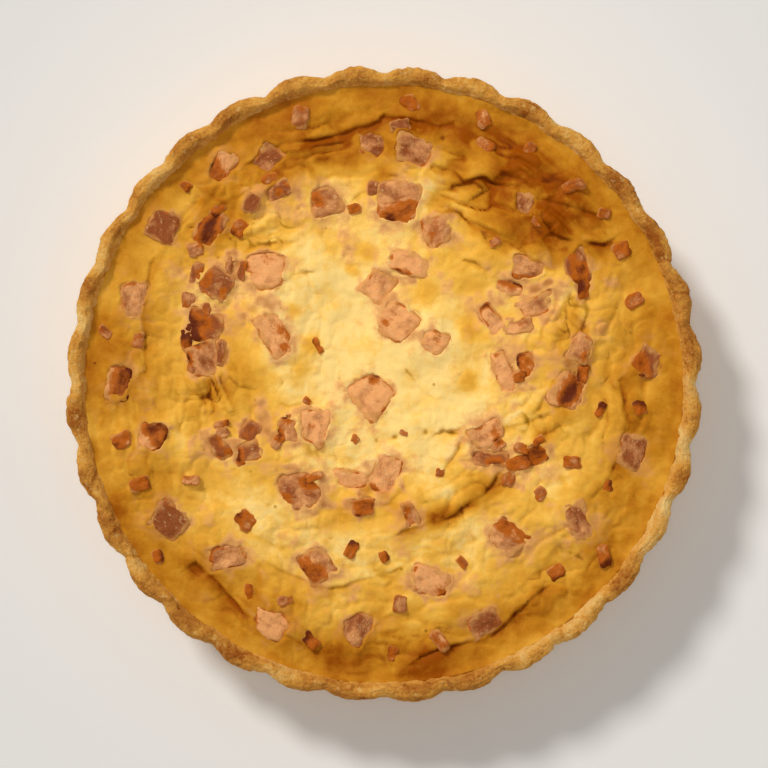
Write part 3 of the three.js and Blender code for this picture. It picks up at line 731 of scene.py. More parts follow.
def shade_smooth(mesh):
    """Lets light run smoothly over the faces of a mesh."""
    mesh.polygons.foreach_set("use_smooth", np.ones(len(mesh.polygons), bool))


def mesh_from(name, points_mm, faces):
    """A mesh from points in mm and faces of any size."""
    mesh = bpy.data.meshes.new(name)
    mesh.from_pydata((np.asarray(points_mm) * MM).tolist(), [], [list(f) for f in faces])
    mesh.validate()
    shade_smooth(mesh)
    return mesh


def paint(mesh, name, values):
    """Gives the mesh a value at each point for its material to read."""
    kind = "FLOAT" if np.ndim(values) == 1 else "FLOAT_VECTOR"
    layer = mesh.attributes.new(name, kind, "POINT")
    layer.data.foreach_set("value" if kind == "FLOAT" else "vector", np.asarray(values, np.float32).ravel())


def add_piece(name, mesh, material, slot, *nodes):
    """Puts a mesh in the scene as a piece that stands for nodes of the frame."""
    mesh.materials.clear()
    mesh.materials.append(material)
    piece = bpy.data.objects.new(name, mesh)
    bpy.context.scene.collection.objects.link(piece)
    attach(piece, BODY)
    if nodes:
        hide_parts(*nodes)
    return piece


def held(items, key, width=3):
    """What each of a mesh's points or marks holds under a key, in rows of that width."""
    flat = np.empty(len(items) * width, np.float32)
    items.foreach_get(key, flat)
    return flat.reshape(-1, width)


def points_of(mesh):
    """The points of a mesh, in mm."""
    return held(mesh.vertices, "co").astype(float) / MM


def normals_of(mesh):
    """The normal at each point of a mesh."""
    return held(mesh.vertices, "normal").astype(float)


def move_points(mesh, points_mm):
    """Puts the points of a mesh at new places."""
    mesh.vertices.foreach_set("co", (points_mm * MM).astype(np.float32).ravel())
    mesh.update()


def cross(a, b, c):
    """Above 0 where the way from a through b to c turns left."""
    return (b[0] - a[0]) * (c[1] - a[1]) - (b[1] - a[1]) * (c[0] - a[0])


def hull(points):
    """The convex outline of points on a plane, anticlockwise."""
    ordered = sorted(map(tuple, points))
    outline = []
    for run in (ordered, ordered[::-1]):
        side = []
        for point in run:
            while len(side) > 1 and cross(side[-2], side[-1], point) <= 0:
                side.pop()
            side.append(point)
        outline += side[:-1]
    return np.array(outline)


def tightest_rectangle(points):
    """Turn, middle and half sizes of the smallest rectangle around points on a plane."""
    outline = hull(np.round(points, 3))
    best = None
    for run in np.roll(outline, -1, axis=0) - outline:
        turn = math.atan2(run[1], run[0])
        axes = np.array([[math.cos(turn), math.sin(turn)], [-math.sin(turn), math.cos(turn)]])
        placed = outline @ axes.T
        low, high = placed.min(axis=0), placed.max(axis=0)
        area = np.prod(high - low)
        if best is None or area < best[0]:
            best = (area, axes, (low + high) / 2 @ axes, (high - low) / 2)
    return best[1:]


class Die:
    """One die of bacon: where its node has it, and the squarer, more uneven shape that it gets."""

    # In millimetres: from its widest level up to its top, what is hidden at its sides, how far it is bent
    ABOVE = 2.6
    HIDDEN = 0.55
    BEND = 0.65

    # Cuts along each edge of the fine mesh
    SPLITS = 18

    def __init__(self, node):
        self.number = int(node.name.split("_")[1].split(".")[0])
        self.name = node.name
        corners = points_of(node.data)
        self.axes, self.middle, self.half = tightest_rectangle(corners[:, :2])
        self.half = self.half + self.HIDDEN
        central = np.hypot(*(corners[:, :2] - self.middle).T) < 2
        self.top = corners[central, 2].max()
        self.bottom = corners[:, 2].min()
        upper = corners[corners[:, 2] > self.top - self.ABOVE]
        flat = np.column_stack([upper[:, :2] - self.middle, np.ones(len(upper))])
        self.slope = np.linalg.lstsq(flat, upper[:, 2], rcond=None)[0][:2]
        drawn = np.random.RandomState(SHAPE_DRAWS + self.number)
        self.taper = drawn.uniform(-0.2, 0.2, 2)
        self.corners = drawn.uniform(3.2, 7)
        self.seed = 37.0 * self.number

    def bend(self, flat):
        """Uneven shifts of the outline, in mm, at places on the plane."""
        points = np.column_stack([flat, np.full(len(flat), self.seed)])
        return wander(points, 7, (141, 145))[:, :2] * self.BEND

    def outside(self, points):
        """How far each point is outside the outline, in mm; negative inside."""
        flat = points[:, :2] - self.bend(points[:, :2])
        local = (flat - self.middle) @ self.axes.T / self.half
        local = local / (1 + self.taper * np.clip(local[:, ::-1], -1.5, 1.5))
        reach = (np.abs(local) ** self.corners).sum(axis=1) ** (1 / self.corners)
        return (reach - 1) * self.half.min()

    def block(self):
        """Points and faces of a rounded block, in shares of its half sizes, from -1 to 1."""
        cube = bmesh.new()
        bmesh.ops.create_cube(cube, size=2)
        bmesh.ops.subdivide_edges(cube, edges=cube.edges, cuts=self.SPLITS, use_grid_fill=True)
        unit = np.array([v.co for v in cube.verts])
        faces = [[v.index for v in face.verts] for face in cube.faces]
        cube.free()
        length = (np.abs(unit) ** self.corners).sum(axis=1) ** (-1 / self.corners)
        return unit * length[:, None], faces

    def mesh(self):
        """The fine mesh of the die, in its place."""
        unit, faces = self.block()
        flat = unit[:, :2] * (1 + self.taper * unit[:, 1::-1]) * self.half
        below = self.top - self.ABOVE - self.bottom
        height = np.where(unit[:, 2] > 0, self.ABOVE, below) * unit[:, 2]
        spread = flat @ self.axes
        level = self.top - self.ABOVE + height + spread @ self.slope
        placed = spread + self.middle
        points = np.column_stack([placed + self.bend(placed), level])
        return mesh_from(f"die_{self.number:02d}", points, faces)


def all_dice():
    """Every die of the frame, in order."""
    nodes = frame["nodes"]
    return [Die(nodes[name]) for name in sorted(nodes) if name.startswith("bacon_")]


# The pastry case


def case_radii():
    """Radius of the case at its underside and its rim, and its height, in mm."""
    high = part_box("pastry_case")[1]
    points = points_of(frame["nodes"]["pastry_case"].data)
    foot = points[points[:, 2] < 3]
    base = np.hypot(foot[:, 0], foot[:, 1]).max()
    return base, high.x / MM, high.z / MM - RIM_WAVE


def case_section(base, rim, height):
    """The turned section: r, z, share of the flutes' depth, spacing of points up to the next row."""
    lean = (rim - base) / height
    inner = base - WALL
    return [
        (0, 0, 0, HIDDEN_STEP),
        (base - 3, 0, 0.1, FINE_STEP),
        (base - 0.8, 0.5, 0.7, FINE_STEP),
        (base + 0.4, 2.4, 1, FINE_STEP),
        (rim, height - 2.6, 1, FINE_STEP),
        (rim - 0.5, height - 1.0, 1, FINE_STEP),
        (rim - 2, height, 1, FINE_STEP),
        (rim - 3.6, height - 0.1, 0.8, FINE_STEP),
        (inner + lean * height + 0.6, height - 0.9, 0.5, FINE_STEP),
        (inner + lean * EDGE_LEVEL, EDGE_LEVEL, 0, FINE_STEP),
        (inner + lean * (EDGE_LEVEL - 3), EDGE_LEVEL - 3, 0, HIDDEN_STEP),
        (inner + lean * CRUST_FLOOR, CRUST_FLOOR, 0, HIDDEN_STEP),
        (0, CRUST_FLOOR, 0, HIDDEN_STEP),
    ]


def resampled(section):
    """The section with points between its rows, close together only where the crust shows."""
    rows = []
    for first, last in zip(np.array(section, float), np.array(section[1:], float)):
        count = math.ceil(math.hypot(*(last - first)[:2]) / first[3])
        rows += [first + (last - first) * k / count for k in range(count)]
    return np.array([*rows, section[-1]])[:, :3]


def pastry_mesh(look):
    """The fluted case with its uneven rim, turned on the axis and closed on itself."""
    base, rim, height = case_radii()
    section = resampled(case_section(base, rim, height))
    steps = look.steps_around
    angle = np.arange(steps) * 2 * math.pi / steps
    drift = 0.05 * np.sin(5 * angle + 1) + 0.04 * np.sin(9 * angle + 4)
    flute = np.sqrt(np.sin(FLUTES * angle / 2 + drift) ** 2 + 0.004) - 1
    wave = np.sin(3 * angle + 1) + 0.6 * np.sin(7 * angle) + 0.5 * np.sin(16 * angle + 2)
    body = section[1:-1]
    radius = body[:, 0][:, None] + FLUTE_DEPTH * flute[None, :] * body[:, 2][:, None]
    near_rim = np.clip((body[:, 1] - EDGE_LEVEL) / (height - EDGE_LEVEL), 0, 1)
    level = body[:, 1][:, None] + RIM_WAVE * wave[None, :] * near_rim[:, None]
    points = np.stack([radius * np.cos(angle), radius * np.sin(angle), level], axis=2).reshape(-1, 3)
    ends = np.array([[0, 0, section[0, 1]], [0, 0, section[-1, 1]]])
    start = np.arange(steps)
    following = (start + 1) % steps
    faces = []
    for row in range(len(body) - 1):
        low, high = row * steps, (row + 1) * steps
        faces += np.column_stack([low + start, low + following, high + following, high + start]).tolist()
    first, last, top = len(points), len(points) + 1, (len(body) - 1) * steps
    faces += np.column_stack([first + 0 * start, following, start]).tolist()
    faces += np.column_stack([last + 0 * start, top + start, top + following]).tolist()
    mesh = mesh_from("pastry_case_baked", np.concatenate([points, ends]), faces)
    roughen_pastry(mesh, look, height, np.append(np.tile(flute, len(body)), (0, 0)))
    return mesh


def roughen_pastry(mesh, look, height, flute):
    """Adds crumb, dents and small cracks, and says how baked the crust is in each place."""
    points = points_of(mesh)
    away = np.hypot(points[:, 0], points[:, 1])
    high = np.clip(points[:, 2] / height, 0, 1)
    shown = smooth(0.2, 1.5, points[:, 2])
    lumps = cloud(points, 8, 11) * look.lumps / MM
    crumb = cloud(points, 1.6, 21) * look.crumb / MM
    pitted = smooth(0.45, 0.8, noise(points, 1.9, 27)) * 0.35
    split = np.maximum(0, 0.1 - np.abs(noise(points, 9, 31))) / 0.1
    cracked = split * smooth(0.1, 0.5, noise(points, 16, 33)) * smooth(0.5, 0.9, high)
    upright = normals_of(mesh)
    inward = np.clip(-(upright[:, :2] * points[:, :2]).sum(axis=1) / np.maximum(away, 1), 0, 1)
    rise = (lumps + crumb - pitted - 0.45 * cracked - 0.35 + 0.9 * inward) * shown
    move_points(mesh, points + upright * rise[:, None])
    rim_share = smooth(height - 5, height - 0.5, points[:, 2])
    ridges = np.clip(1 + flute, 0, 1) * smooth(away.max() - 14, away.max() - 4, away)
    below = 1 - smooth(0.1, 3, points[:, 2])
    scorched = rim_share * np.clip(0.7 + 0.5 * cloud(points, 11, 45), 0, 1.3)
    baked = 0.24 + 0.36 * scorched + 0.22 * ridges + 0.2 * below + 0.18 * cloud(points, 16, 41)
    paint(mesh, "baked", np.clip(baked + 0.25 * cracked + 0.2 * pitted, 0, 1))


class QUICHE_OT_pastry(Operator):
    """Bake the fluted shortcrust case."""

    bl_idname = "quiche.pastry"
    bl_label = "Pastry case"

    def execute(self, context):
        look = context.scene.quiche_pastry
        add_piece("pastry_case_baked", pastry_mesh(look), pastry_finish(look), "pastry", "pastry_case")
        return {"FINISHED"}


# The custard


def disc_of_rings(radius, rings):
    """Points of a round net whose rings hold 6, 12, 18 and more points, and its triangles."""
    places = [(0.0, 0.0)]
    for ring in range(1, rings + 1):
        angle = np.arange(6 * ring) * 2 * math.pi / (6 * ring)
        away = radius * ring / rings
        places += np.stack([away * np.cos(angle), away * np.sin(angle)], axis=1).tolist()
    triangles = []
    for ring in range(1, rings + 1):
        outer = 1 + 3 * ring * (ring - 1)
        inner = 1 + 3 * (ring - 1) * (ring - 2) if ring > 1 else 0
        inner_count = max(1, 6 * (ring - 1))
        for sector in range(6):
            for k in range(ring):
                a = outer + sector * ring + k
                b = outer + (sector * ring + k + 1) % (6 * ring)
                c = inner + (sector * (ring - 1) + k) % inner_count
                triangles.append((a, b, c))
                if k < ring - 1:
                    d = inner + (sector * (ring - 1) + k + 1) % inner_count
                    triangles.append((b, d, c))
    return np.array(places), triangles


def fold(signed, depth, shoulder):
    """Height and shade of one fold, where the lit side of the skin laps over the other."""
    away = np.abs(signed)
    lit = smooth(-0.6, 0.6, signed)
    lapping = lit * 0.6 * np.exp(-away / (1.4 * shoulder))
    dipping = (1 - lit) * 0.7 * np.exp(-away / (0.6 * shoulder))
    height = depth * (lapping - dipping - 0.3 * bell(away / 0.8))
    # The shade is painted: the side away from the light is darkened in the custard's colour.
    return height, depth * (1 - lit) * np.exp(-away / shoulder)


def folds(points):
    """Height in mm of the creases, fine lines and pits, how dark their painted line of shade is, and the
    painted shade beside it.
    """
    height, line, shade = np.zeros((3, len(points)))
    thickness = np.maximum(0.4, 0.6 + 0.4 * noise(points, 6, 55))
    strength = np.maximum(0.1, 0.75 + 0.7 * noise(points, 8, 57))
    marks = [(depth, shoulder, 2.2, 0.3, 1, bends) for depth, shoulder, *bends in CREASES]
    marks += [(depth, 1.3, 1, 0.2, 0.8, bends) for depth, *bends in FINE_LINES]
    for depth, shoulder, faintness, offset, width, bends in marks:
        signed = away_from_line(points, bends)
        raised, shaded = fold(signed, depth * strength, shoulder)
        height += raised
        shade = np.maximum(shade, shaded)
        # Painted shade: a dark line along each crease and fine line.
        dark = strength * depth / faintness * bell((signed + offset) / (width * thickness))
        line = np.maximum(line, dark)
    for px, py, width in PITS:
        hole = patch(points, px, py, width * 0.6)
        height -= 0.8 * hole
        # Painted shade in each pit.
        line = np.maximum(line, 0.9 * hole)
    return height, line, shade


def wrinkles(points):
    """Folds of the skin, stretched along each zone's direction: height, nearness to a fold for a painted
    dark line of shade, and painted shade in the valleys.
    """
    height, line, shade = np.zeros((3, len(points)))
    broken = smooth(-0.2, 0.5, noise(points, 7, 123))
    for index, (px, py, radius, turn, strength) in enumerate(WRINKLED):
        share = strength * np.minimum(1, 1.3 * patch(points, px, py, radius))
        along = np.array([math.cos(math.radians(turn)), math.sin(math.radians(turn))])
        stretched = np.column_stack([
            points[:, :2] @ along * 0.34,
            points[:, 1] * along[0] - points[:, 0] * along[1],
            np.full(len(points), 20.0 * index),
        ])
        folded = np.abs(noise(stretched, WRINKLE_WIDTH, 121) + 0.4 * noise(stretched, 2.3, 122))
        height += share * (np.minimum(folded, 0.6) * 1.6 - 0.4)
        # Painted shade: a dark line in each fold and shade in its valley.
        line = np.maximum(line, share * bell(folded / 0.045) * broken)
        shade = np.maximum(shade, share * (1 - smooth(0.0, 0.34, folded)))
    return height, line, shade


def under_the_skin(points):
    """Height in mm and tint of what lies just under the skin."""
    height, tint = np.zeros((2, len(points)))
    wobbled = points + TINT_WANDER * wander(points, 5, (71, 75))
    for px, py, length, width, high, strength in SUNKEN:
        x, y = from_picture(px, py)
        across = (wobbled[:, 0] - x) / (length * PIXEL_MM / 2)
        along = (wobbled[:, 1] - y) / (width * PIXEL_MM / 2)
        away = (np.abs(across) ** 3 + np.abs(along) ** 3) ** (1 / 3)
        height += high * (1 - smooth(0.5, 1.15, away))
        tint = np.maximum(tint, strength * (1 - smooth(0.45, 1.35, away)))
    return height, tint * (0.85 + 0.5 * cloud(points, 3.4, 79, 2))


class Custard:
    """The baked surface worked out at places in mm: its level, and what its material reads."""

    # Where it meets a die, in millimetres: how near counts, how far below the top of the die it rises, the
    # least that it laps over, how deep the thin film starts, the widths of tint and smear, and the width of
    # the painted shade where the custard parts from the die
    NEARBY = 6
    BELOW_FACE = 0.3
    LEAST_LAP = 0.4
    FILM_SUNK = 0.15
    TINTED = 0.6
    SMEARED = 4.0
    SHADED_GAP = 0.4

    def __init__(self, places, look):
        points = np.column_stack([places, np.zeros(len(places))])
        self.radius = custard_radius()
        away = np.hypot(points[:, 0], points[:, 1])
        fade = np.clip((self.radius - away) / RIM_FADE, 0, 1)
        shift = wander(points, 9, (51, 52))
        folded, line, shade = folds(points + CREASE_WANDER * shift)
        lumps, tint = under_the_skin(points)
        wrinkled, wrinkle_shade_line, wrinkle_shade = wrinkles(points + WRINKLE_WANDER * shift)
        curds, curd_shade_line = pads(points + CURD_WANDER * shift, CURD_WIDTH, 131)
        curdled = np.clip(0.22 + 0.25 * cloud(points, 24, 135) + patches(points, CURDLED), 0.08, 1.2)
        relief = (
            wrinkled * look.wrinkles / MM
            + (np.minimum(curds, 0.5) * 1.5 - 0.35) * curdled * look.curds / MM
            + cloud(points, 9, 93, layers=2) * 0.4
            + cloud(points, 1.7, 91) * look.grain / MM
        )
        shaped = waves(points) + patches(points, BULGES) + folded + lumps + relief
        climbing = (0.7 + 0.5 * noise(points, 6, 95)) * smooth(self.radius - CLIMB_WIDTH, self.radius, away)
        dome = DOME * (1 - (away / self.radius) ** 2)
        self.level = EDGE_LEVEL + dome + fade * shaped + climbing
        # Painted shade: the hollows of the relief, the folds between curds and wrinkles, and the creases'
        # lines darken the colour.
        hollow_shade = smooth(0.15, 1.0, -relief) * 0.3
        skin_shade_lines = 0.6 * wrinkle_shade_line + 0.55 * curd_shade_line * curdled + hollow_shade
        self.creased = np.clip(line + skin_shade_lines * fade, 0, 1)
        self.blushing = tint + patches(points, BLUSHES)
        self.lap_over_dice(points)
        near_rim = smooth(self.radius * 0.5, self.radius, away)
        spotty = 0.14 * cloud(points, 15, 98) + 0.1 * relief
        # Painted shade beside the folds, in the wrinkles' valleys and in the hollows is added to the
        # browning.
        shaded = (0.3 * shade + 0.26 * wrinkle_shade + 0.3 * hollow_shade) * fade
        baked = MIDDLE_BROWN + RIM_BROWN * near_rim**1.3 + patches(points, BROWNED_AND_SHADED)
        self.browned = np.clip(baked + spotty * (0.6 + near_rim) + shaded, 0, 1.15)

    def lap_over_dice(self, points):
        """Lets the custard rise against each die and lap over parts of it, and dive under the rest."""
        wobble = noise(points, 2.6, 61) * 0.5 + noise(points, 1.2, 62) * 0.35
        covering = smooth(-0.75, 0.25, noise(points, 5.5, 63))
        film = 0.5 * cloud(points, 3.2, 65, 2) + 0.05
        tongue = smooth(0.1, 0.8, noise(points, 4.5, 67))
        smeared = smooth(-0.6, 0.7, noise(points, 4, 68) + 0.5 * noise(points, 1.6, 69))
        parted = smooth(-0.4, 0.6, noise(points, 3.4, 64))
        for die in all_dice():
            close = np.hypot(*(points[:, :2] - die.middle).T) < die.half.max() * 1.5 + self.NEARBY
            out = die.outside(points[close]) + wobble[close]
            covered = covering[close]
            face = die.top + (points[close, :2] - die.middle) @ die.slope
            share = np.exp(-np.maximum(out, 0) / (1.0 + 1.4 * covered)) * (0.35 + 0.65 * covered)
            level = self.level[close]
            level = level + (np.maximum(face - self.BELOW_FACE, level) - level) * share
            inside = smooth(0.0, 1.0, -out)
            reach = self.LEAST_LAP + 0.32 * die.half.min() * tongue[close]
            under = smooth(0.1, 0.9, -out - reach * covered)
            level = level * (1 - inside) + (face + film[close] * covered - self.FILM_SUNK) * inside
            self.level[close] = level + (die.top - die.ABOVE - level) * under
            reached = np.exp(-np.maximum(out, 0) / (self.TINTED + self.SMEARED * smeared[close] * covered))
            halo = reached * (0.42 + 0.5 * smeared[close])
            thick = smooth(0.2, 0.7, film[close]) * inside
            self.blushing[close] = np.maximum(self.blushing[close], halo * (1 - 0.35 * thick))
            # Painted shade: a dark line where the custard parts from a die.
            gap_shade = (1 - covered) * bell((out - 0.2) / self.SHADED_GAP) * parted[close]
            self.creased[close] = np.maximum(self.creased[close] * (1 - share), 0.6 * gap_shade)


def custard_mesh(look):
    """The filling: the fine baked surface, a side against the pastry and a flat underside."""
    radius = custard_radius()
    places, triangles = disc_of_rings(radius, look.rings)
    top = Custard(places, look)
    around = 6 * look.rings
    edge = places[-around:]
    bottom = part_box("filling")[0].z / MM
    base, rim, height = case_radii()
    shrink = 1 - (EDGE_LEVEL - bottom) * (rim - base) / height / radius
    points = np.concatenate([
        np.column_stack([places, top.level]),
        np.column_stack([edge * shrink, np.full(around, bottom)]),
        [[0, 0, bottom]],
    ])
    above, below, middle = len(places) - around, len(places), len(places) + around
    for step in range(around):
        following = (step + 1) % around
        triangles.append((above + step, below + step, below + following, above + following))
        triangles.append((middle, below + following, below + step))
    mesh = mesh_from("custard_baked", points, triangles)
    padding = np.zeros(around + 1)
    for name in ("browned", "creased", "blushing"):
        paint(mesh, name, np.concatenate([getattr(top, name), padding]))
    return mesh


class QUICHE_OT_custard(Operator):
    """Set the egg and cheese custard, creased and browned on top."""

    bl_idname = "quiche.custard"
    bl_label = "Custard"

    def execute(self, context):
        look = context.scene.quiche_custard
        add_piece("custard_baked", custard_mesh(look), custard_finish(look), "filling", "filling")
        return {"FINISHED"}


# The bacon


def dress_bacon(mesh, tone, seed, side_share, look, edge=0.0, everywhere=0.0):
    """Tears the surface of a piece of bacon, and says where it is mauve, where it is scorched brown, where
    a few patches of painted shadow darken it, and where it is filmed with custard.
    """
    points = points_of(mesh)
    local = points - points.mean(axis=0)
    heading = np.linalg.eigh(local[:, :2].T @ local[:, :2])[1][:, -1]
    along = local[:, :2] @ heading
    across = local[:, 1] * heading[0] - local[:, 0] * heading[1]
    grain = np.column_stack([along * 0.7 + seed, across, local[:, 2] * 1.2])
    torn = cloud(local + seed, 2.8, 101) * look.torn / MM
    fibres = noise(grain, 1.1, 105) * 0.16
    upright = normals_of(mesh)
    move_points(mesh, points + upright * (torn + fibres)[:, None])
    turned = seed * GOLDEN_ANGLE
    slope = local[:, :2] @ (math.cos(turned), math.sin(turned)) / np.abs(local[:, :2]).max()
    sides = 1 - smooth(0.35, 0.9, upright[:, 2])
    side = smooth(-0.2, 0.6, slope + side_share - 0.8)
    caught = patches(points, CAUGHT_AND_SHADOWED) + side * side_share + 0.25 * sides - 0.3 * torn + everywhere
    drift = cloud(local + seed, 4, 109)
    paint(mesh, "grain", grain)
    paint(mesh, "tone", tone + 0.5 * sides + 0.35 * drift)
    paint(mesh, "caught", np.clip(caught, 0, 1.7))
    paint(mesh, "coated", 0.5 * sides + edge - 0.1 + 0.35 * drift - 0.35 * caught)


class QUICHE_OT_bacon(Operator):
    """Set the diced bacon into the custard, one piece for each die."""

    bl_idname = "quiche.bacon"
    bl_label = "Diced bacon"

    def execute(self, context):
        look = context.scene.quiche_bacon
        material = bacon_finish(look)
        for die in all_dice():
            mesh = die.mesh()
            drawn = np.random.RandomState(TONE_DRAWS + die.number)
            shown = die.number in TONES
            tone = TONES[die.number] if shown else drawn.uniform(0, 1.1)
            side_share = 0 if shown else drawn.uniform(0.2, 1.3)
            points = points_of(mesh)
            out = die.outside(points)
            edge = 0.95 * smooth(-2.6, -0.1, out + 1.3 * noise(points, 3, 73))
            rim = 0.9 * bell((out + 0.7) / 0.4) * smooth(0.1, 0.5, noise(points, 2.2, 77))
            dress_bacon(mesh, tone, die.seed, side_share, look, edge=edge, everywhere=rim)
            add_piece(f"bacon_die_{die.number:02d}", mesh, material, "bacon", die.name)
        return {"FINISHED"}


def bit_mesh(index, centre, half, turn, tone, scorched, look):
    """One small uneven bit of bacon; its middle and half sizes are in mm and its turn in radians."""
    ball = bmesh.new()
    bmesh.ops.create_icosphere(ball, subdivisions=4, radius=1)
    mesh = bpy.data.meshes.new(f"bacon_bit_{index:02d}")
    ball.to_mesh(mesh)
    ball.free()
    unit = points_of(mesh) * MM
    corners = 3 + 4 * abs(math.sin(7.0 * index))
    squared = (np.abs(unit) ** corners).sum(axis=1) ** (-1 / corners)
    uneven = 1 + 0.15 * cloud(unit * 2 + 5 * index, 1.5, 111, 3)
    flat = unit * (squared * uneven)[:, None] * half
    across = flat[:, 0] * math.cos(turn) - flat[:, 1] * math.sin(turn)
    along = flat[:, 0] * math.sin(turn) + flat[:, 1] * math.cos(turn)
    move_points(mesh, np.column_stack([across, along, flat[:, 2]]) + centre)
    shade_smooth(mesh)
    edge = 0.8 * smooth(0.5, 0.9, np.hypot(unit[:, 0], unit[:, 1]))
    dress_bacon(mesh, tone, 200.0 + 11 * index, scorched, look, edge=edge, everywhere=scorched)
    return mesh


def all_bits(look, custard_look):
    """A mesh for every bit, and for every sliver that just breaks the skin of the custard."""
    places = np.array([from_picture(*row[:2]) for row in (*BITS, *SLIVERS)])
    levels = Custard(places, custard_look).level
    meshes = []
    for index, (place, level) in enumerate(zip(places, levels)):
        if index < len(BITS):
            drawn = np.random.RandomState(BIT_DRAWS + index)
            width, height = BITS[index][2:]
            sizes = np.array([drawn.uniform(0.95, 1.25), drawn.uniform(0.6, 1.0)]) * width
            turn, tone = drawn.uniform(0, math.pi), drawn.uniform(0.5, 1.1)
            scorched, sunk = drawn.uniform(0.3, 0.85), BIT_SUNK
        else:
            length, width, degrees, tone, scorched = SLIVERS[index - len(BITS)][2:]
            sizes = np.array([length, width])
            height, sunk, turn = SLIVER_HALF_HEIGHT, SLIVER_SUNK, math.radians(degrees)
        half = (*sizes * PIXEL_MM / 2, height)
        meshes.append(bit_mesh(index, (*place, level - sunk), half, turn, tone, scorched, look))
    return meshes


def joined(name, meshes):
    """Several meshes as one, with what they carry for their material."""
    faces, start = [], 0
    for mesh in meshes:
        faces += [[start + v for v in face.vertices] for face in mesh.polygons]
        start += len(mesh.vertices)
    made = mesh_from(name, np.concatenate([points_of(mesh) for mesh in meshes]), faces)
    for layer, width in BACON_MARKS.items():
        key = "vector" if width == 3 else "value"
        rows = np.concatenate([held(mesh.attributes[layer].data, key, width) for mesh in meshes])
        paint(made, layer, rows if width == 3 else rows.ravel())
    return made


class QUICHE_OT_bits(Operator):
    """Bake the small bits of bacon onto the custard."""

    bl_idname = "quiche.bits"
    bl_label = "Bacon bits"

    def execute(self, context):
        look = context.scene.quiche_bacon
        meshes = all_bits(look, context.scene.quiche_custard)
        add_piece("bacon_bits", joined("bacon_bits", meshes), bacon_finish(look), "bacon")
        return {"FINISHED"}


# The stage


def add_light(name, kind, energy, place, target, **settings):
    """A soft warm light that faces a point."""
    lamp = bpy.data.lights.new(name, kind)
    lamp.energy = energy
    lamp.color = WARM_LIGHT
    for key, value in settings.items():
        setattr(lamp, key, value)
    light = bpy.data.objects.new(name, lamp)
    light.location = place
    x, y, z = np.array(target, float) - np.array(place, float)
    light.rotation_euler = (math.atan2(math.hypot(x, y), -z), 0, math.atan2(y, x) - math.pi / 2)
    bpy.context.scene.collection.objects.link(light)


def floor_finish(colour):
    """A plain pale floor with the faintest mottling."""
    finish = Finish("plain_floor")
    cloudy = finish.noise(finish.place(), 9, detail=2)
    mixed = finish.mixed(cloudy * 0.06, colour, DEEP_FLOOR)
    return finish.close(mixed, 0.8, finish.relief(cloudy, 0.02 * MM))


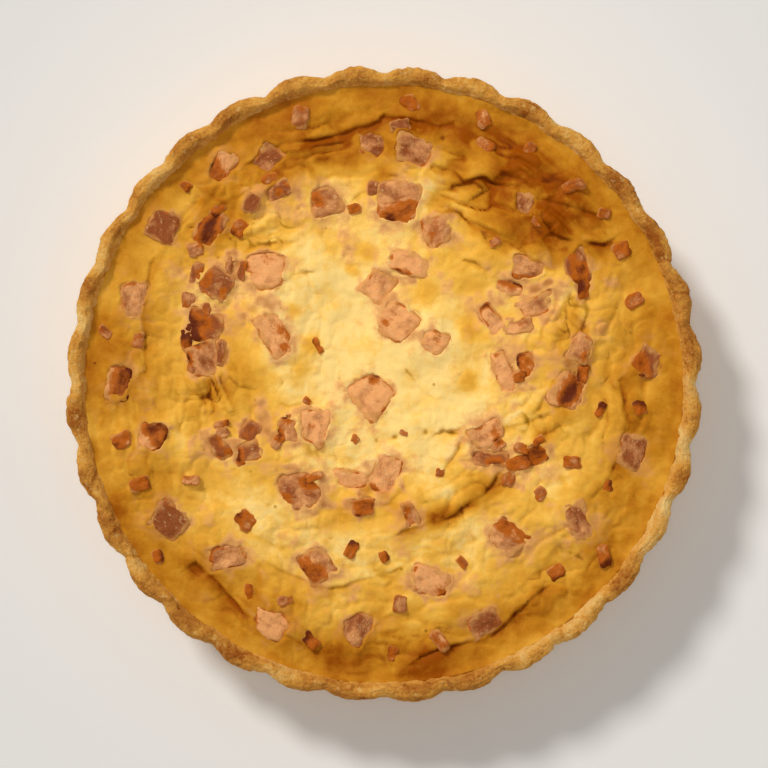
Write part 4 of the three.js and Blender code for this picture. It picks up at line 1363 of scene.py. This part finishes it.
class QUICHE_OT_stage(Operator):
    """Lay the floor, hang the lights and set the camera straight above."""

    bl_idname = "quiche.stage"
    bl_label = "Stage"

    def execute(self, context):
        look = context.scene.quiche_stage
        self.lay_floor(context.scene, look.floor)
        self.hang_lights(look)
        self.light_the_air(context.scene, look.air)
        self.set_camera(context.scene, look.camera_height)
        context.scene.view_settings.view_transform = "Standard"
        return {"FINISHED"}

    @staticmethod
    def lay_floor(scene, colour):
        """A wide plain floor at the quiche's underside."""
        span = FLOOR_REACH / MM
        corners = [(-span, -span, 0), (span, -span, 0), (span, span, 0), (-span, span, 0)]
        mesh = mesh_from("plain_floor", corners, [(0, 1, 2, 3)])
        mesh.materials.append(floor_finish(colour))
        plane = bpy.data.objects.new("plain_floor", mesh)
        scene.collection.objects.link(plane)

    @staticmethod
    def hang_lights(look):
        """A broad light from the upper left and a narrow one over the brightest custard."""
        level = EDGE_LEVEL * MM
        x, y = (along * MM for along in from_picture(*SHOWN_MIDDLE))
        add_light("key_light", "SUN", look.key_strength, KEY_PLACE, (0, 0, level), angle=KEY_SPREAD)
        pool = {"spot_size": POOL_CONE, "spot_blend": 1, "shadow_soft_size": POOL_SIZE}
        add_light("pool_light", "SPOT", look.pool_power, (x, y, POOL_HEIGHT), (x, y, level), **pool)

    @staticmethod
    def light_the_air(scene, strength):
        """A dim even light from all round."""
        world = bpy.data.worlds.new("studio_air")
        world.use_nodes = True
        background = world.node_tree.nodes["Background"]
        background.inputs["Color"].default_value = WARM_AIR
        background.inputs["Strength"].default_value = strength
        scene.world = world

    @staticmethod
    def set_camera(scene, height):
        """Straight above, so that the picture's width covers what it covers on the quiche."""
        data = bpy.data.cameras.new("camera")
        camera = bpy.data.objects.new("camera", data)
        camera.location = (0, 0, height)
        covered = PICTURE_WIDTH * PIXEL_MM * MM
        data.lens = data.sensor_width * (height - EDGE_LEVEL * MM) / covered
        scene.collection.objects.link(camera)
        scene.camera = camera


class QUICHE_PT_sidebar(Panel):
    """Lists the makers of the quiche and what can be changed."""

    bl_label = "Quiche lorraine"
    bl_space_type = "VIEW_3D"
    bl_region_type = "UI"
    bl_category = "Quiche"

    def draw(self, context):
        for maker in MAKERS:
            self.layout.operator(maker.bl_idname)
        for name in SETTINGS:
            settings = getattr(context.scene, name)
            box = self.layout.box()
            for key in settings.bl_rna.properties.keys():
                if key not in ("rna_type", "name"):
                    box.prop(settings, key)


SETTINGS = {
    "quiche_stage": StageSettings,
    "quiche_pastry": PastrySettings,
    "quiche_custard": CustardSettings,
    "quiche_bacon": BaconSettings,
}
MAKERS = (QUICHE_OT_stage, QUICHE_OT_pastry, QUICHE_OT_custard, QUICHE_OT_bacon, QUICHE_OT_bits)


def register():
    for name, kind in SETTINGS.items():
        bpy.utils.register_class(kind)
        setattr(bpy.types.Scene, name, PointerProperty(type=kind))
    for kind in (*MAKERS, QUICHE_PT_sidebar):
        bpy.utils.register_class(kind)


def unregister():
    for kind in (QUICHE_PT_sidebar, *reversed(MAKERS)):
        bpy.utils.unregister_class(kind)
    for name, kind in SETTINGS.items():
        delattr(bpy.types.Scene, name)
        bpy.utils.unregister_class(kind)


def main():
    register()
    bpy.ops.quiche.stage()
    bpy.ops.quiche.pastry()
    bpy.ops.quiche.custard()
    bpy.ops.quiche.bacon()
    bpy.ops.quiche.bits()


if __name__ == "__main__":
    main()
